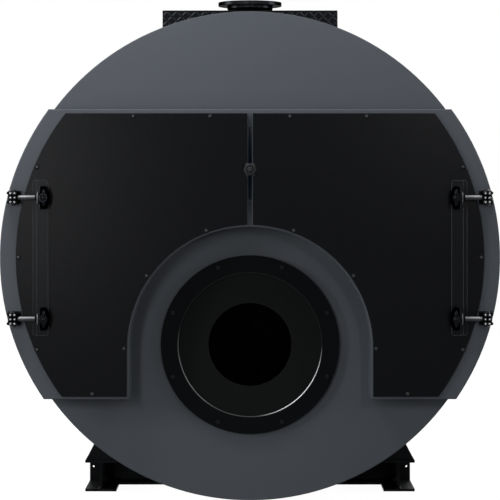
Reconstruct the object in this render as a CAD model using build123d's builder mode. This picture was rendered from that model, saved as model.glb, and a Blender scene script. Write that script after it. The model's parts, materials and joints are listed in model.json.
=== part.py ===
import os
from math import sqrt

from build123d import *

# Horizontal fire-tube boiler on a steel base frame, drawn in millimetres.
# +X is to the right seen from the front, the doors face -Y and +Z is up.
# The origin lies on the floor, in the middle of the boiler's length and width.

# Boiler body
body_radius = 1300.0
body_length = 4400.0
ground_clearance = 100.0
end_wall = 90.0
wall_bevel = 3.0
insulation = 100.0
jacket_panels = 12
jacket_seam = 0.6
shell_wall = 18.0
tube_plate_thickness = 25.0
seat_gap = 0.3

# Flame tube and burner port
flame_tube_radius = 560.0
flame_tube_clearance = 152.0
flame_tube_wall = 18.0
flame_tube_length = 3400.0
burner_ring_radius = 473.0
burner_ring_bore = 380.5
burner_ring_thickness = 30.0
burner_plate_fit = 0.5
burner_plate_thickness = 16.0
burner_port_radius = 220.0
throat_radius = 340.0
throat_fit = 0.5
throat_flare = 300.0
throat_length = 130.0
burner_bolt_circle = 442.5
burner_bolt_count = 8
burner_bolt_flats = 19.0
burner_bolt_height = 7.5
burner_washer_radius = 12.5
burner_washer_height = 2.5

# Smoke tubes
tube_radius = 41.25
tube_wall = 3.6
tube_pitch = 156.0
tube_end = 6.0
tube_margin = 14.0
tube_fit = 0.3

# Door housing in front of the body
housing_depth = 242.0
housing_rise = 771.0
housing_foot = 266.0
housing_wall = 12.0
frame_thickness = 12.0
frame_bevel = 5.0
arch_radius = 630.0

# Doors
rim_side = 85.0
rim_top = 22.0
rim_bottom = 14.0
rim_arch = 10.0
post_gap = 29.0
door_seat = 55.0
lining_gap = 25.0
lining_depth = 60.0
gasket_gap = 6.0
panel_thickness = 8.0
panel_bevel = 1.5

# Centre post and clamp between the doors
post_width = 84.0
post_depth = 38.0
slot_width = 12.0
slot_foot = 299.0
slot_head = 679.0
clamp_rise = 458.0
clamp_washer_radius = 32.0
clamp_washer_proud = 8.0
clamp_stud_radius = 10.0
clamp_stud_fit = 1.0
clamp_nut_radius = 14.5
clamp_nut_height = 18.0
clamp_nut_round = 8.0
clamp_clearance = 7.0

# Hinges
hinge_spread = 626.0
hinge_drop = 1.0
pin_inset = 78.0
rod_standoff = 58.0
rod_radius = 12.0
rod_fit = 0.3
rod_length = 186.0
eye_radius = 28.0
eye_height = 32.0
eye_bevel = 2.5
eye_side_gap = 1.0
pin_radius = 11.0
pin_fit = 0.05
pin_head_radius = 17.0
pin_head_height = 10.0
pin_head_round = 8.0
ear_thickness = 14.0
ear_radius = 33.0
ear_round = 4.0
bracket_plate = 12.0
strip_width = 82.0
strip_thickness = 3.0
hinge_plate_width = 62.0
hinge_plate_height = 806.0
hinge_plate_thickness = 6.0
hinge_plate_corner = 12.0
hinge_plate_reach = 146.0
lug_reach = 138.0
lug_thickness = 12.0
lug_radius = 59.0
lug_bevel = 1.5
nut_flats = 30.0
nut_height = 19.0

# Flow nozzle on top
nozzle_setback = 2200.0
nozzle_rise = 242.0
nozzle_bore = 130.2
nozzle_wall = 6.3
nozzle_clearance = 20.0
hub_radius = 146.0
hub_height = 42.0
hub_taper = 26.0
flange_radius = 202.5
flange_thickness = 26.0
flange_bolt_circle = 177.5
flange_hole = 13.0
flange_hole_count = 12
raised_face_radius = 160.0
raised_face_height = 3.0

# Walkway on top
walkway_setback = 800.0
walkway_rear_setback = 500.0
walkway_width = 1000.0
walkway_rise = 72.0
deck_thickness = 8.0
apron_thickness = 5.0

# Flue gas collector at the back
collector_inset = 120.0
collector_depth = 380.0
collector_wall = 8.0
collector_lap = 20.0
flue_radius = 250.0
flue_wall = 6.0
flue_length = 180.0
flue_rise = 500.0
flue_flange_width = 44.0
flue_flange_thickness = 10.0
cover_width = 420.0
cover_height = 620.0
cover_thickness = 10.0
cover_corner = 40.0
cover_offset = 600.0
cover_drop = 70.0

# Base frame
beam_inset = 436.0
beam_height = 180.0
beam_width = 180.0
beam_web = 8.5
beam_flange = 14.0
beam_root = 15.0
beam_setback = 950.0
beam_rear_setback = 450.0
cross_setback = 350.0
cross_clearance = 8.0
rib_thickness = 12.0
rib_corner = 18.0
rib_hole = 6.0
rib_hole_level = 96.0
rib_hole_inset = 22.0
saddle_thickness = 20.0
saddle_setback = 10.0
saddle_foot_inset = 348.0
saddle_inner_inset = 740.0
saddle_rise = 450.0
saddle_lean = 0.516

# Places and sizes worked out from those above
body_axis = body_radius + ground_clearance
shell_radius = body_radius - insulation
shell_bottom = body_axis - shell_radius + shell_wall
burner_axis = shell_bottom + flame_tube_clearance + flame_tube_radius
housing_top = body_axis + housing_rise
housing_bottom = burner_axis - housing_foot
plate_radius = shell_radius - shell_wall - seat_gap
pin_standoff = gasket_gap + panel_thickness + rod_standoff
front_reach = housing_depth + pin_standoff + lug_radius
rear_reach = body_length + collector_depth + flue_length
front_y = (front_reach - rear_reach) / 2
frame_y = front_y - housing_depth
panel_y = frame_y - gasket_gap
panel_face_y = panel_y - panel_thickness
strip_y = panel_face_y - strip_thickness
hinge_plate_y = strip_y - hinge_plate_thickness
pin_y = frame_y - pin_standoff
ring_y = front_y - burner_ring_thickness
tube_plate_y = front_y + end_wall
rear_y = front_y + body_length
rear_plate_y = rear_y - end_wall
rear_face_y = rear_y + collector_depth
jacket_length = rear_plate_y - tube_plate_y
collector_radius = body_radius - collector_inset
flue_level = body_axis + flue_rise
cover_level = body_axis - cover_drop
panel_radius = body_radius - rim_side
panel_top = housing_top - rim_top
panel_bottom = housing_bottom + rim_bottom
panel_arch = arch_radius + rim_arch
slot_bottom = body_axis + slot_foot
slot_top = body_axis + slot_head
clamp_level = body_axis + clamp_rise
hinge_centre = body_axis - hinge_drop
pin_offset = body_radius - pin_inset
rod_end = pin_offset - rod_length
lug_offset = pin_offset - lug_reach
hinge_plate_offset = pin_offset - hinge_plate_reach
strip_offset = hinge_plate_offset + (strip_width - hinge_plate_width) / 2
ear_gap = eye_height / 2 + eye_side_gap
bracket_reach = ear_gap + ear_thickness
nozzle_y = front_y + nozzle_setback
nozzle_top = body_axis + body_radius + nozzle_rise
nozzle_pipe = nozzle_bore + nozzle_wall
flange_bottom = nozzle_top - flange_thickness
walkway_top = body_axis + body_radius + walkway_rise
deck_bottom = walkway_top - deck_thickness
walkway_y = front_y + walkway_setback
walkway_back_y = rear_y - walkway_rear_setback
beam_front_y = front_y + beam_setback
beam_back_y = rear_y - beam_rear_setback
beam_offset = body_radius - beam_inset
beam_inner = beam_offset - beam_width / 2
saddle_foot = body_radius - saddle_foot_inset
saddle_inner = body_radius - saddle_inner_inset
beam_pocket = (beam_width - beam_web) / 2
sides = {"left": -1, "right": 1}
hinge_levels = {
    "lower": hinge_centre - hinge_spread / 2,
    "upper": hinge_centre + hinge_spread / 2,
}
cross_places = {
    "front": beam_front_y + cross_setback,
    "middle": (beam_front_y + beam_back_y) / 2,
    "rear": beam_back_y - cross_setback,
}
saddle_places = {
    "front": beam_front_y + saddle_setback,
    "rear": beam_back_y - saddle_setback - saddle_thickness,
}


def facing(y):
    """Plane across the boiler at y, seen from the front: its x is X and its y is Z."""
    return Plane.XZ.offset(-y)


def save(piece, name):
    """Label a finished piece and write its file."""
    piece.part.label = name
    export_step(piece.part, f"parts/{name}.step")


def draw_ring(level, outer, inner):
    """Flat ring on the boiler's middle line at a level."""
    with Locations((0, level)):
        Circle(outer)
        Circle(inner, mode=Mode.SUBTRACT)


def draw_chamber(radius, top, bottom, arch):
    """Field inside the body's circle, between two levels and outside the burner arch."""
    with Locations((0, body_axis)):
        Circle(radius)
    with Locations((0, (top + bottom) / 2)):
        Rectangle(2 * radius, top - bottom, mode=Mode.INTERSECT)
    with Locations((0, burner_axis)):
        Circle(arch, mode=Mode.SUBTRACT)
    with Locations((0, (burner_axis + bottom) / 2)):
        Rectangle(2 * arch, burner_axis - bottom, mode=Mode.SUBTRACT)


def draw_housing(inset):
    """Outline of the door housing, drawn in by inset from its outside faces."""
    draw_chamber(
        body_radius - inset,
        housing_top - inset,
        housing_bottom + inset,
        arch_radius + inset,
    )


def draw_doors(inset):
    """Both door fields in one, drawn in by inset from the panels' edges."""
    draw_chamber(
        panel_radius - inset,
        panel_top - inset,
        panel_bottom + inset,
        panel_arch + inset,
    )


def draw_door(side, inset):
    """One door's field, drawn in by inset from the panel's edges."""
    draw_doors(inset)
    centre = post_gap / 2 + inset
    with Locations((side * (centre + body_radius) / 2, body_axis)):
        Rectangle(body_radius - centre, 2 * body_radius, mode=Mode.INTERSECT)


def draw_saddle(side):
    """One saddle plate between a beam and the shell, leaning in at its outer edge."""
    top = beam_height + saddle_rise
    Polygon(
        (side * saddle_inner, beam_height),
        (side * saddle_foot, beam_height),
        (side * (saddle_foot - saddle_lean * saddle_rise), top),
        (side * saddle_inner, top),
        align=None,
    )
    with Locations((0, body_axis)):
        Circle(shell_radius + seat_gap, mode=Mode.SUBTRACT)


def draw_beam(centre):
    """Rolled H section with root radii, standing on the floor."""
    with Locations((centre, beam_height / 2)):
        Rectangle(beam_width, beam_height)
    for side in sides.values():
        with Locations((centre + side * beam_width / 2, beam_height / 2)):
            RectangleRounded(
                2 * beam_pocket, beam_height - 2 * beam_flange, beam_root, mode=Mode.SUBTRACT
            )


def tube_places():
    """Tube places: a square grid inside both door fields, clear of their edges."""
    reach = tube_radius + tube_margin + door_seat
    first = panel_bottom + reach
    found = []
    for column in range(int(panel_radius / tube_pitch)):
        x = (column + 0.5) * tube_pitch
        for row in range(int((panel_top - reach - first) / tube_pitch) + 1):
            z = first + row * tube_pitch
            in_circle = sqrt(x**2 + (z - body_axis) ** 2) <= panel_radius - reach
            past_arch = sqrt(x**2 + (z - burner_axis) ** 2) >= panel_arch + reach
            beside_arch = z >= burner_axis or x >= panel_arch + reach
            if in_circle and past_arch and beside_arch:
                found += [(-x, z), (x, z)]
    return found


os.makedirs("parts", exist_ok=True)

# Insulated jacket in panels round the body, open where the saddles and the nozzle reach the shell
with BuildPart() as jacket:
    with BuildSketch(facing(rear_plate_y)):
        draw_ring(body_axis, body_radius, shell_radius + seat_gap)
        with Locations((0, body_axis)):
            with PolarLocations(body_radius - insulation / 2, jacket_panels, 180 / jacket_panels):
                Rectangle(2 * insulation, jacket_seam, mode=Mode.SUBTRACT)
    extrude(amount=jacket_length)
    for saddle_y in saddle_places.values():
        for side in sides.values():
            with BuildSketch(facing(saddle_y + saddle_thickness)):
                draw_saddle(side)
            extrude(amount=saddle_thickness, mode=Mode.SUBTRACT)
    with BuildSketch(Plane.XY.offset(body_axis)):
        with Locations((0, nozzle_y)):
            Circle(nozzle_pipe + nozzle_clearance)
    extrude(amount=body_radius, mode=Mode.SUBTRACT)
save(jacket, "jacket")

# Pressure shell inside the jacket, with the flow nozzle's hole
with BuildPart() as pressure_shell:
    with BuildSketch(facing(rear_plate_y)):
        draw_ring(body_axis, shell_radius, shell_radius - shell_wall)
    extrude(amount=jacket_length)
    with BuildSketch(Plane.XY.offset(body_axis)):
        with Locations((0, nozzle_y)):
            Circle(nozzle_bore)
    extrude(amount=shell_radius, mode=Mode.SUBTRACT)
save(pressure_shell, "pressure_shell")

# Front wall in front of the tube plate, cut for the door chambers and the burner throat
with BuildPart() as front_wall:
    with BuildSketch(facing(tube_plate_y)):
        with Locations((0, body_axis)):
            Circle(body_radius)
    extrude(amount=end_wall)
    chamfer(front_wall.faces().sort_by(Axis.Y)[0].edges(), wall_bevel)
    with BuildSketch(facing(tube_plate_y)):
        draw_doors(door_seat)
    extrude(amount=end_wall, mode=Mode.SUBTRACT)
    with BuildSketch(facing(tube_plate_y)):
        with Locations((0, burner_axis)):
            Circle(throat_radius + throat_fit)
    extrude(amount=end_wall, mode=Mode.SUBTRACT)
save(front_wall, "front_wall")

# Rear wall, a ring behind the rear tube plate
with BuildPart() as rear_wall:
    with BuildSketch(facing(rear_y)):
        draw_ring(body_axis, body_radius, collector_radius - collector_lap)
    extrude(amount=end_wall)
save(rear_wall, "rear_wall")

# Tube plates with their tube holes, the front one round the flame tube as well
with BuildPart() as tube_plate:
    with BuildSketch(facing(tube_plate_y + tube_plate_thickness)):
        with Locations((0, body_axis)):
            Circle(plate_radius)
        with Locations((0, burner_axis)):
            Circle(flame_tube_radius + seat_gap, mode=Mode.SUBTRACT)
        with Locations(tube_places()):
            Circle(tube_radius + tube_fit, mode=Mode.SUBTRACT)
    extrude(amount=tube_plate_thickness)
save(tube_plate, "tube_plate")

with BuildPart() as rear_tube_plate:
    with BuildSketch(facing(rear_plate_y)):
        with Locations((0, body_axis)):
            Circle(plate_radius)
        with Locations(tube_places()):
            Circle(tube_radius + tube_fit, mode=Mode.SUBTRACT)
    extrude(amount=tube_plate_thickness)
save(rear_tube_plate, "rear_tube_plate")

# Smoke tubes through both plates, their ends standing just proud
with BuildPart() as smoke_tubes:
    with BuildSketch(facing(rear_plate_y + tube_end)):
        with Locations(tube_places()):
            Circle(tube_radius)
            Circle(tube_radius - tube_wall, mode=Mode.SUBTRACT)
    extrude(amount=jacket_length + 2 * tube_end)
save(smoke_tubes, "smoke_tubes")

# Flame tube, closed at its far end
with BuildPart() as flame_tube:
    with BuildSketch(facing(tube_plate_y + flame_tube_length)):
        with Locations((0, burner_axis)):
            Circle(flame_tube_radius)
    extrude(amount=flame_tube_length)
    with BuildSketch(facing(tube_plate_y + flame_tube_length - flame_tube_wall)):
        with Locations((0, burner_axis)):
            Circle(flame_tube_radius - flame_tube_wall)
    extrude(amount=flame_tube_length, mode=Mode.SUBTRACT)
save(flame_tube, "flame_tube")

# Burner port: mounting ring, plate, throat and the ring's bolts
with BuildPart() as burner_ring:
    with BuildSketch(facing(front_y)):
        draw_ring(burner_axis, burner_ring_radius, burner_ring_bore)
    extrude(amount=burner_ring_thickness)
save(burner_ring, "burner_ring")

with BuildPart() as burner_plate:
    with BuildSketch(facing(front_y)):
        draw_ring(burner_axis, burner_ring_bore - burner_plate_fit, burner_port_radius)
    extrude(amount=burner_plate_thickness)
save(burner_plate, "burner_plate")

with BuildPart() as burner_throat:
    with BuildSketch(Plane.YZ):
        with BuildLine():
            Polyline(
                (front_y, burner_axis + burner_port_radius),
                (front_y, burner_axis + throat_radius),
                (front_y + throat_length, burner_axis + throat_radius),
                (front_y + throat_length, burner_axis + throat_flare),
                close=True,
            )
        make_face()
    revolve(axis=Axis((0, 0, burner_axis), (0, 1, 0)))
save(burner_throat, "burner_throat")

with BuildPart() as burner_bolts:
    with BuildSketch(facing(ring_y)):
        with Locations((0, burner_axis)):
            with PolarLocations(burner_bolt_circle, burner_bolt_count, 180 / burner_bolt_count):
                Circle(burner_washer_radius)
    extrude(amount=burner_washer_height)
    with BuildSketch(facing(ring_y - burner_washer_height)):
        with Locations((0, burner_axis)):
            with PolarLocations(burner_bolt_circle, burner_bolt_count, 180 / burner_bolt_count):
                RegularPolygon(burner_bolt_flats / 2, 6, major_radius=False)
    extrude(amount=burner_bolt_height)
save(burner_bolts, "burner_bolts")

# Door housing: the walls round the front chamber, standing on the front wall
with BuildPart() as door_housing:
    with BuildSketch(facing(front_y)):
        draw_housing(0)
    extrude(amount=housing_depth - frame_thickness)
    with BuildSketch(facing(front_y)):
        draw_housing(housing_wall)
    extrude(amount=housing_depth, mode=Mode.SUBTRACT)
save(door_housing, "door_housing")

# Door frame: the housing's front plate, with a slot between the two door openings
with BuildPart() as door_frame:
    with BuildSketch(facing(frame_y + frame_thickness)):
        draw_housing(0)
    extrude(amount=frame_thickness)
    chamfer(door_frame.faces().sort_by(Axis.Y)[0].edges(), frame_bevel)
    for side in sides.values():
        with BuildSketch(facing(frame_y + frame_thickness)):
            draw_door(side, door_seat)
        extrude(amount=frame_thickness, mode=Mode.SUBTRACT)
    with BuildSketch(facing(frame_y + frame_thickness)):
        with Locations((0, (slot_top + slot_bottom) / 2)):
            Rectangle(slot_width, slot_top - slot_bottom)
        with Locations((0, clamp_level)):
            Circle(clamp_stud_radius + clamp_stud_fit)
    extrude(amount=frame_thickness, mode=Mode.SUBTRACT)
save(door_frame, "door_frame")

# Centre post behind the frame, from the arch to the housing's top wall
with BuildPart() as centre_post:
    with BuildSketch(facing(frame_y + frame_thickness + post_depth)):
        post_top = housing_top - housing_wall
        with Locations((0, (burner_axis + post_top) / 2)):
            Rectangle(post_width, post_top - burner_axis)
        with Locations((0, burner_axis)):
            Circle(arch_radius + housing_wall + seat_gap, mode=Mode.SUBTRACT)
    extrude(amount=post_depth)
save(centre_post, "centre_post")

# Clamp on the centre post: stud, broad washer and domed nut
with BuildPart() as centre_clamp:
    washer_y = panel_face_y - clamp_washer_proud
    nut_y = washer_y - clamp_nut_height
    with BuildSketch(Plane.YZ):
        with BuildLine():
            Polyline(
                (frame_y + frame_thickness, clamp_level),
                (frame_y + frame_thickness, clamp_level + clamp_stud_radius),
                (frame_y, clamp_level + clamp_stud_radius),
                (frame_y, clamp_level + clamp_washer_radius),
                (washer_y, clamp_level + clamp_washer_radius),
                (washer_y, clamp_level + clamp_nut_radius),
                (nut_y, clamp_level + clamp_nut_radius),
                (nut_y, clamp_level),
                close=True,
            )
        make_face()
    revolve(axis=Axis((0, 0, clamp_level), (0, 1, 0)))
    fillet(centre_clamp.faces().sort_by(Axis.Y)[0].edges(), clamp_nut_round)
save(centre_clamp, "centre_clamp")

for name, side in sides.items():
    # Door panel, notched round the clamp's washer
    with BuildPart() as door_panel:
        with BuildSketch(facing(panel_y)):
            draw_door(side, 0)
            with Locations((0, clamp_level)):
                Circle(clamp_washer_radius + clamp_clearance, mode=Mode.SUBTRACT)
        extrude(amount=panel_thickness)
        chamfer(door_panel.faces().sort_by(Axis.Y)[0].edges(), panel_bevel)
    save(door_panel, f"{name}_door_panel")

    # Insulating block on the panel's back, which fills the frame's opening
    with BuildPart() as door_lining:
        with BuildSketch(facing(frame_y + lining_depth)):
            draw_door(side, door_seat + lining_gap)
        extrude(amount=lining_depth + gasket_gap)
    save(door_lining, f"{name}_door_lining")

    # Hinge plate on a strip of the panel, with its two round lugs
    with BuildPart() as hinge_plate:
        with BuildSketch(facing(panel_face_y)):
            with Locations((side * strip_offset, hinge_centre)):
                RectangleRounded(strip_width, hinge_plate_height, hinge_plate_corner)
        extrude(amount=strip_thickness)
        with BuildSketch(facing(strip_y)):
            with Locations((side * hinge_plate_offset, hinge_centre)):
                RectangleRounded(hinge_plate_width, hinge_plate_height, hinge_plate_corner)
        extrude(amount=hinge_plate_thickness)
        lug_foot = hinge_plate_y - pin_y
        for level in hinge_levels.values():
            with BuildSketch(Plane.YZ.offset(side * lug_offset - lug_thickness / 2)):
                with Locations((pin_y, level)):
                    Circle(lug_radius)
                    Rectangle(2 * lug_foot, 2 * lug_radius)
                with Locations((pin_y + (lug_foot - lug_radius) / 2, level)):
                    Rectangle(lug_foot + lug_radius, 2 * lug_radius, mode=Mode.INTERSECT)
                with Locations((pin_y, level)):
                    Circle(rod_radius + rod_fit, mode=Mode.SUBTRACT)
            extrude(amount=lug_thickness)
        lug_rims = hinge_plate.edges().filter_by(GeomType.CIRCLE)
        chamfer(lug_rims.filter_by(lambda rim: abs(rim.radius - lug_radius) < pin_fit), lug_bevel)
    save(hinge_plate, f"{name}_hinge_plate")

    # Hinge rods: an eye on the pin, a threaded rod through the lug and a nut each side
    with BuildPart() as hinge_rods:
        for level in hinge_levels.values():
            with BuildSketch(Plane.YZ.offset(min(side * rod_end, side * pin_offset))):
                with Locations((pin_y, level)):
                    Circle(rod_radius)
            extrude(amount=pin_offset - rod_end)
            for nut_side in sides.values():
                nut_centre = side * lug_offset + nut_side * (lug_thickness + nut_height) / 2
                with BuildSketch(Plane.YZ.offset(nut_centre - nut_height / 2)):
                    with Locations((pin_y, level)):
                        RegularPolygon(nut_flats / 2, 6, major_radius=False)
                extrude(amount=nut_height)
            with BuildSketch(Plane.XY.offset(level - eye_height / 2)):
                with Locations((side * pin_offset, pin_y)):
                    Circle(eye_radius)
            extrude(amount=eye_height)
            eye_rims = hinge_rods.edges().filter_by(GeomType.CIRCLE).filter_by_position(
                Axis.Z, level - eye_height / 2, level + eye_height / 2
            )
            chamfer(eye_rims.filter_by(lambda rim: abs(rim.radius - eye_radius) < pin_fit), eye_bevel)
            with BuildSketch(Plane.XY.offset(level - eye_height / 2)):
                with Locations((side * pin_offset, pin_y)):
                    Circle(pin_radius + pin_fit)
            extrude(amount=eye_height, mode=Mode.SUBTRACT)
    save(hinge_rods, f"{name}_hinge_rods")

    # Hinge brackets on the frame: a back plate and two ears round each pin
    with BuildPart() as hinge_brackets:
        for level in hinge_levels.values():
            with BuildSketch(facing(frame_y)):
                with Locations((side * pin_offset, level)):
                    Rectangle(2 * ear_radius, 2 * bracket_reach + pin_head_height)
            extrude(amount=bracket_plate)
            for bottom in (level - bracket_reach, level + ear_gap):
                with BuildSketch(Plane.XY.offset(bottom)):
                    with Locations((side * pin_offset, (pin_y + frame_y) / 2)):
                        Rectangle(2 * ear_radius, frame_y - pin_y)
                    with Locations((side * pin_offset, pin_y)):
                        Circle(ear_radius)
                        Circle(pin_radius + pin_fit, mode=Mode.SUBTRACT)
                extrude(amount=ear_thickness)
        ear_rims = hinge_brackets.edges().filter_by(GeomType.CIRCLE)
        fillet(ear_rims.filter_by(lambda rim: abs(rim.radius - ear_radius) < pin_fit), ear_round)
    save(hinge_brackets, f"{name}_hinge_brackets")

# Hinge pins through the brackets, with a domed head at each end
with BuildPart() as hinge_pins:
    pin_places = [(side * pin_offset, pin_y) for side in sides.values()]
    for level in hinge_levels.values():
        with BuildSketch(Plane.XY.offset(level - bracket_reach)):
            with Locations(pin_places):
                Circle(pin_radius)
        extrude(amount=2 * bracket_reach)
        for bottom in (level - bracket_reach - pin_head_height, level + bracket_reach):
            with BuildSketch(Plane.XY.offset(bottom)):
                with Locations(pin_places):
                    Circle(pin_head_radius)
            extrude(amount=pin_head_height)
        for end in (-1, 1):
            tip = level + end * (bracket_reach + pin_head_height)
            head_rims = hinge_pins.edges().filter_by_position(Axis.Z, tip - pin_fit, tip + pin_fit)
            fillet(head_rims, pin_head_round)
save(hinge_pins, "hinge_pins")

# Flow nozzle: weld-neck flange on a pipe that is cut to the shell
with BuildPart() as flow_nozzle:
    with BuildSketch(facing(nozzle_y)):
        with BuildLine():
            Polyline(
                (nozzle_bore, body_axis + shell_radius / 2),
                (nozzle_pipe, body_axis + shell_radius / 2),
                (nozzle_pipe, flange_bottom - hub_height),
                (hub_radius, flange_bottom - hub_height + hub_taper),
                (hub_radius, flange_bottom),
                (flange_radius, flange_bottom),
                (flange_radius, nozzle_top - raised_face_height),
                (raised_face_radius, nozzle_top - raised_face_height),
                (raised_face_radius, nozzle_top),
                (nozzle_bore, nozzle_top),
                close=True,
            )
        make_face()
    revolve(axis=Axis((0, nozzle_y, 0), (0, 0, 1)))
    with BuildSketch(Plane.XY.offset(flange_bottom)):
        with Locations((0, nozzle_y)):
            with PolarLocations(flange_bolt_circle, flange_hole_count, 180 / flange_hole_count):
                Circle(flange_hole)
    extrude(amount=flange_thickness, mode=Mode.SUBTRACT)
    with BuildSketch(facing(nozzle_y + flange_radius)):
        with Locations((0, body_axis)):
            Circle(shell_radius + seat_gap)
    extrude(amount=2 * flange_radius, mode=Mode.SUBTRACT)
save(flow_nozzle, "flow_nozzle")

# Walkway: deck round the nozzle and an apron on each side, down to the jacket
with BuildPart() as walkway_deck:
    with BuildSketch(Plane.XY.offset(deck_bottom)):
        with Locations((0, (walkway_y + walkway_back_y) / 2)):
            Rectangle(walkway_width, walkway_back_y - walkway_y)
        with Locations((0, nozzle_y)):
            Circle(flange_radius + nozzle_clearance, mode=Mode.SUBTRACT)
    extrude(amount=deck_thickness)
save(walkway_deck, "walkway_deck")

apron_ends = {
    "front": walkway_y + apron_thickness,
    "rear": walkway_back_y,
}
for name, back in apron_ends.items():
    with BuildPart() as end_apron:
        with BuildSketch(facing(back)):
            with Locations((0, (body_axis + deck_bottom) / 2)):
                Rectangle(walkway_width, deck_bottom - body_axis)
            with Locations((0, body_axis)):
                Circle(body_radius + seat_gap, mode=Mode.SUBTRACT)
        extrude(amount=apron_thickness)
    save(end_apron, f"walkway_apron_{name}")

for name, side in sides.items():
    with BuildPart() as side_apron:
        with BuildSketch(facing(walkway_back_y - apron_thickness)):
            with Locations(
                (side * (walkway_width - apron_thickness) / 2, (body_axis + deck_bottom) / 2)
            ):
                Rectangle(apron_thickness, deck_bottom - body_axis)
            with Locations((0, body_axis)):
                Circle(body_radius + seat_gap, mode=Mode.SUBTRACT)
        extrude(amount=walkway_back_y - walkway_y - 2 * apron_thickness)
    save(side_apron, f"walkway_apron_{name}")

# Flue gas collector: a shallow drum behind the rear wall
with BuildPart() as flue_collector:
    with BuildSketch(facing(rear_face_y)):
        with Locations((0, body_axis)):
            Circle(collector_radius)
    extrude(amount=collector_depth)
    with BuildSketch(facing(rear_face_y - collector_wall)):
        with Locations((0, body_axis)):
            Circle(collector_radius - collector_wall)
    extrude(amount=collector_depth, mode=Mode.SUBTRACT)
    with BuildSketch(facing(rear_face_y)):
        with Locations((0, flue_level)):
            Circle(flue_radius)
    extrude(amount=collector_wall, mode=Mode.SUBTRACT)
save(flue_collector, "flue_collector")

with BuildPart() as flue_outlet:
    with BuildSketch(facing(rear_face_y + flue_length)):
        draw_ring(flue_level, flue_radius + flue_wall, flue_radius)
    extrude(amount=flue_length)
    with BuildSketch(facing(rear_face_y + flue_length)):
        draw_ring(flue_level, flue_radius + flue_flange_width, flue_radius)
    extrude(amount=flue_flange_thickness)
save(flue_outlet, "flue_outlet")

with BuildPart() as cleaning_covers:
    with BuildSketch(facing(rear_face_y + cover_thickness)):
        with Locations((-cover_offset, cover_level), (cover_offset, cover_level)):
            RectangleRounded(cover_width, cover_height, cover_corner)
    extrude(amount=cover_thickness)
save(cleaning_covers, "cleaning_covers")

# Base frame: two long beams with outer ribs, three cross beams and two pairs of saddles
for name, side in sides.items():
    with BuildPart() as base_beam:
        with BuildSketch(facing(beam_back_y)):
            draw_beam(side * beam_offset)
        extrude(amount=beam_back_y - beam_front_y)
    save(base_beam, f"base_beam_{name}")

with BuildPart() as beam_ribs:
    for cross_y in cross_places.values():
        for side in sides.values():
            with BuildSketch(facing(cross_y + rib_thickness / 2)):
                rib_x = side * (beam_offset + (beam_web + beam_pocket) / 2)
                with Locations((rib_x, beam_height / 2)):
                    rib = Rectangle(beam_pocket, beam_height - 2 * beam_flange)
                chamfer(rib.vertices().sort_by_distance((0, beam_height / 2))[:2], rib_corner)
                hole_x = side * (beam_offset + beam_width / 2 - rib_hole_inset)
                with Locations((hole_x, rib_hole_level)):
                    Circle(rib_hole, mode=Mode.SUBTRACT)
            extrude(amount=rib_thickness)
save(beam_ribs, "beam_ribs")

for name, cross_y in cross_places.items():
    with BuildPart() as cross_beam:
        with BuildSketch(Plane.YZ.offset(-beam_inner)):
            draw_beam(cross_y)
        extrude(amount=2 * beam_inner)
        with BuildSketch(facing(cross_y + beam_web / 2)):
            with Locations((0, beam_height / 2)):
                Rectangle(
                    2 * beam_offset - beam_web, beam_height - 2 * (beam_flange + beam_root)
                )
        extrude(amount=beam_web)
        with BuildSketch(facing(cross_y + beam_width / 2)):
            with Locations((0, body_axis)):
                Circle(body_radius + cross_clearance)
        extrude(amount=beam_width, mode=Mode.SUBTRACT)
    save(cross_beam, f"cross_beam_{name}")

for name, saddle_y in saddle_places.items():
    with BuildPart() as saddle:
        for side in sides.values():
            with BuildSketch(facing(saddle_y + saddle_thickness)):
                draw_saddle(side)
            extrude(amount=saddle_thickness)
    save(saddle, f"saddle_{name}")
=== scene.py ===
"""Finishes and fine pieces of a horizontal fire-tube boiler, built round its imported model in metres."""

import json
import logging
from collections.abc import Callable, Iterable, Sequence
from dataclasses import dataclass
from enum import Enum
from math import acos, asin, ceil, cos, hypot, pi, radians, sin, sqrt, tau

import bmesh
import bpy
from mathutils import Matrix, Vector


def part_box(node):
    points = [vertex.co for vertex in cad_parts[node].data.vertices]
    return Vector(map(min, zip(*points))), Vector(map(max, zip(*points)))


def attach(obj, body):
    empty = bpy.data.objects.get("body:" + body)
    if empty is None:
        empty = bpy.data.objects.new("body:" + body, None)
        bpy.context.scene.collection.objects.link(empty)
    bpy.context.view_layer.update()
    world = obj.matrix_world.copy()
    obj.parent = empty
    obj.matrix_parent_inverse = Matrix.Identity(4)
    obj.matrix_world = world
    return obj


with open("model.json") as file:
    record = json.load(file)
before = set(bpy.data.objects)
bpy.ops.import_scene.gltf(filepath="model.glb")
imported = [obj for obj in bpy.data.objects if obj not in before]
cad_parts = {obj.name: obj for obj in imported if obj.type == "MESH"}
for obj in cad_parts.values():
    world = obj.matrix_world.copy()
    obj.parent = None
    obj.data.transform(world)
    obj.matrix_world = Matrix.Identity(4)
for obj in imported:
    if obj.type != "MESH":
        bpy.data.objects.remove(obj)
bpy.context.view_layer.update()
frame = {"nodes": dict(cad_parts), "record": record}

log = logging.getLogger("boiler")

Triple = tuple[float, float, float]
Color = Triple
Point = tuple[float, float]
Inputs = dict[str | int, object]
AXIS_X = Vector((1, 0, 0))
AXIS_Y = Vector((0, 1, 0))
AXIS_Z = Vector((0, 0, 1))


class Body(Enum):
    """Moving bodies that a piece can ride on."""

    BOILER = "boiler"
    LEFT_DOOR = "left_door"
    RIGHT_DOOR = "right_door"


class Slot(Enum):
    """Material slots of the record."""

    GREY = "grey_paint"
    JACKET = "jacket_paint"
    DOOR = "door_paint"
    BASE = "base_paint"
    TREAD = "tread_plate"
    STEEL = "bare_steel"
    BURNER = "burner_casting"
    LINING = "refractory"
    FIRED = "fired_steel"


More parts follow.
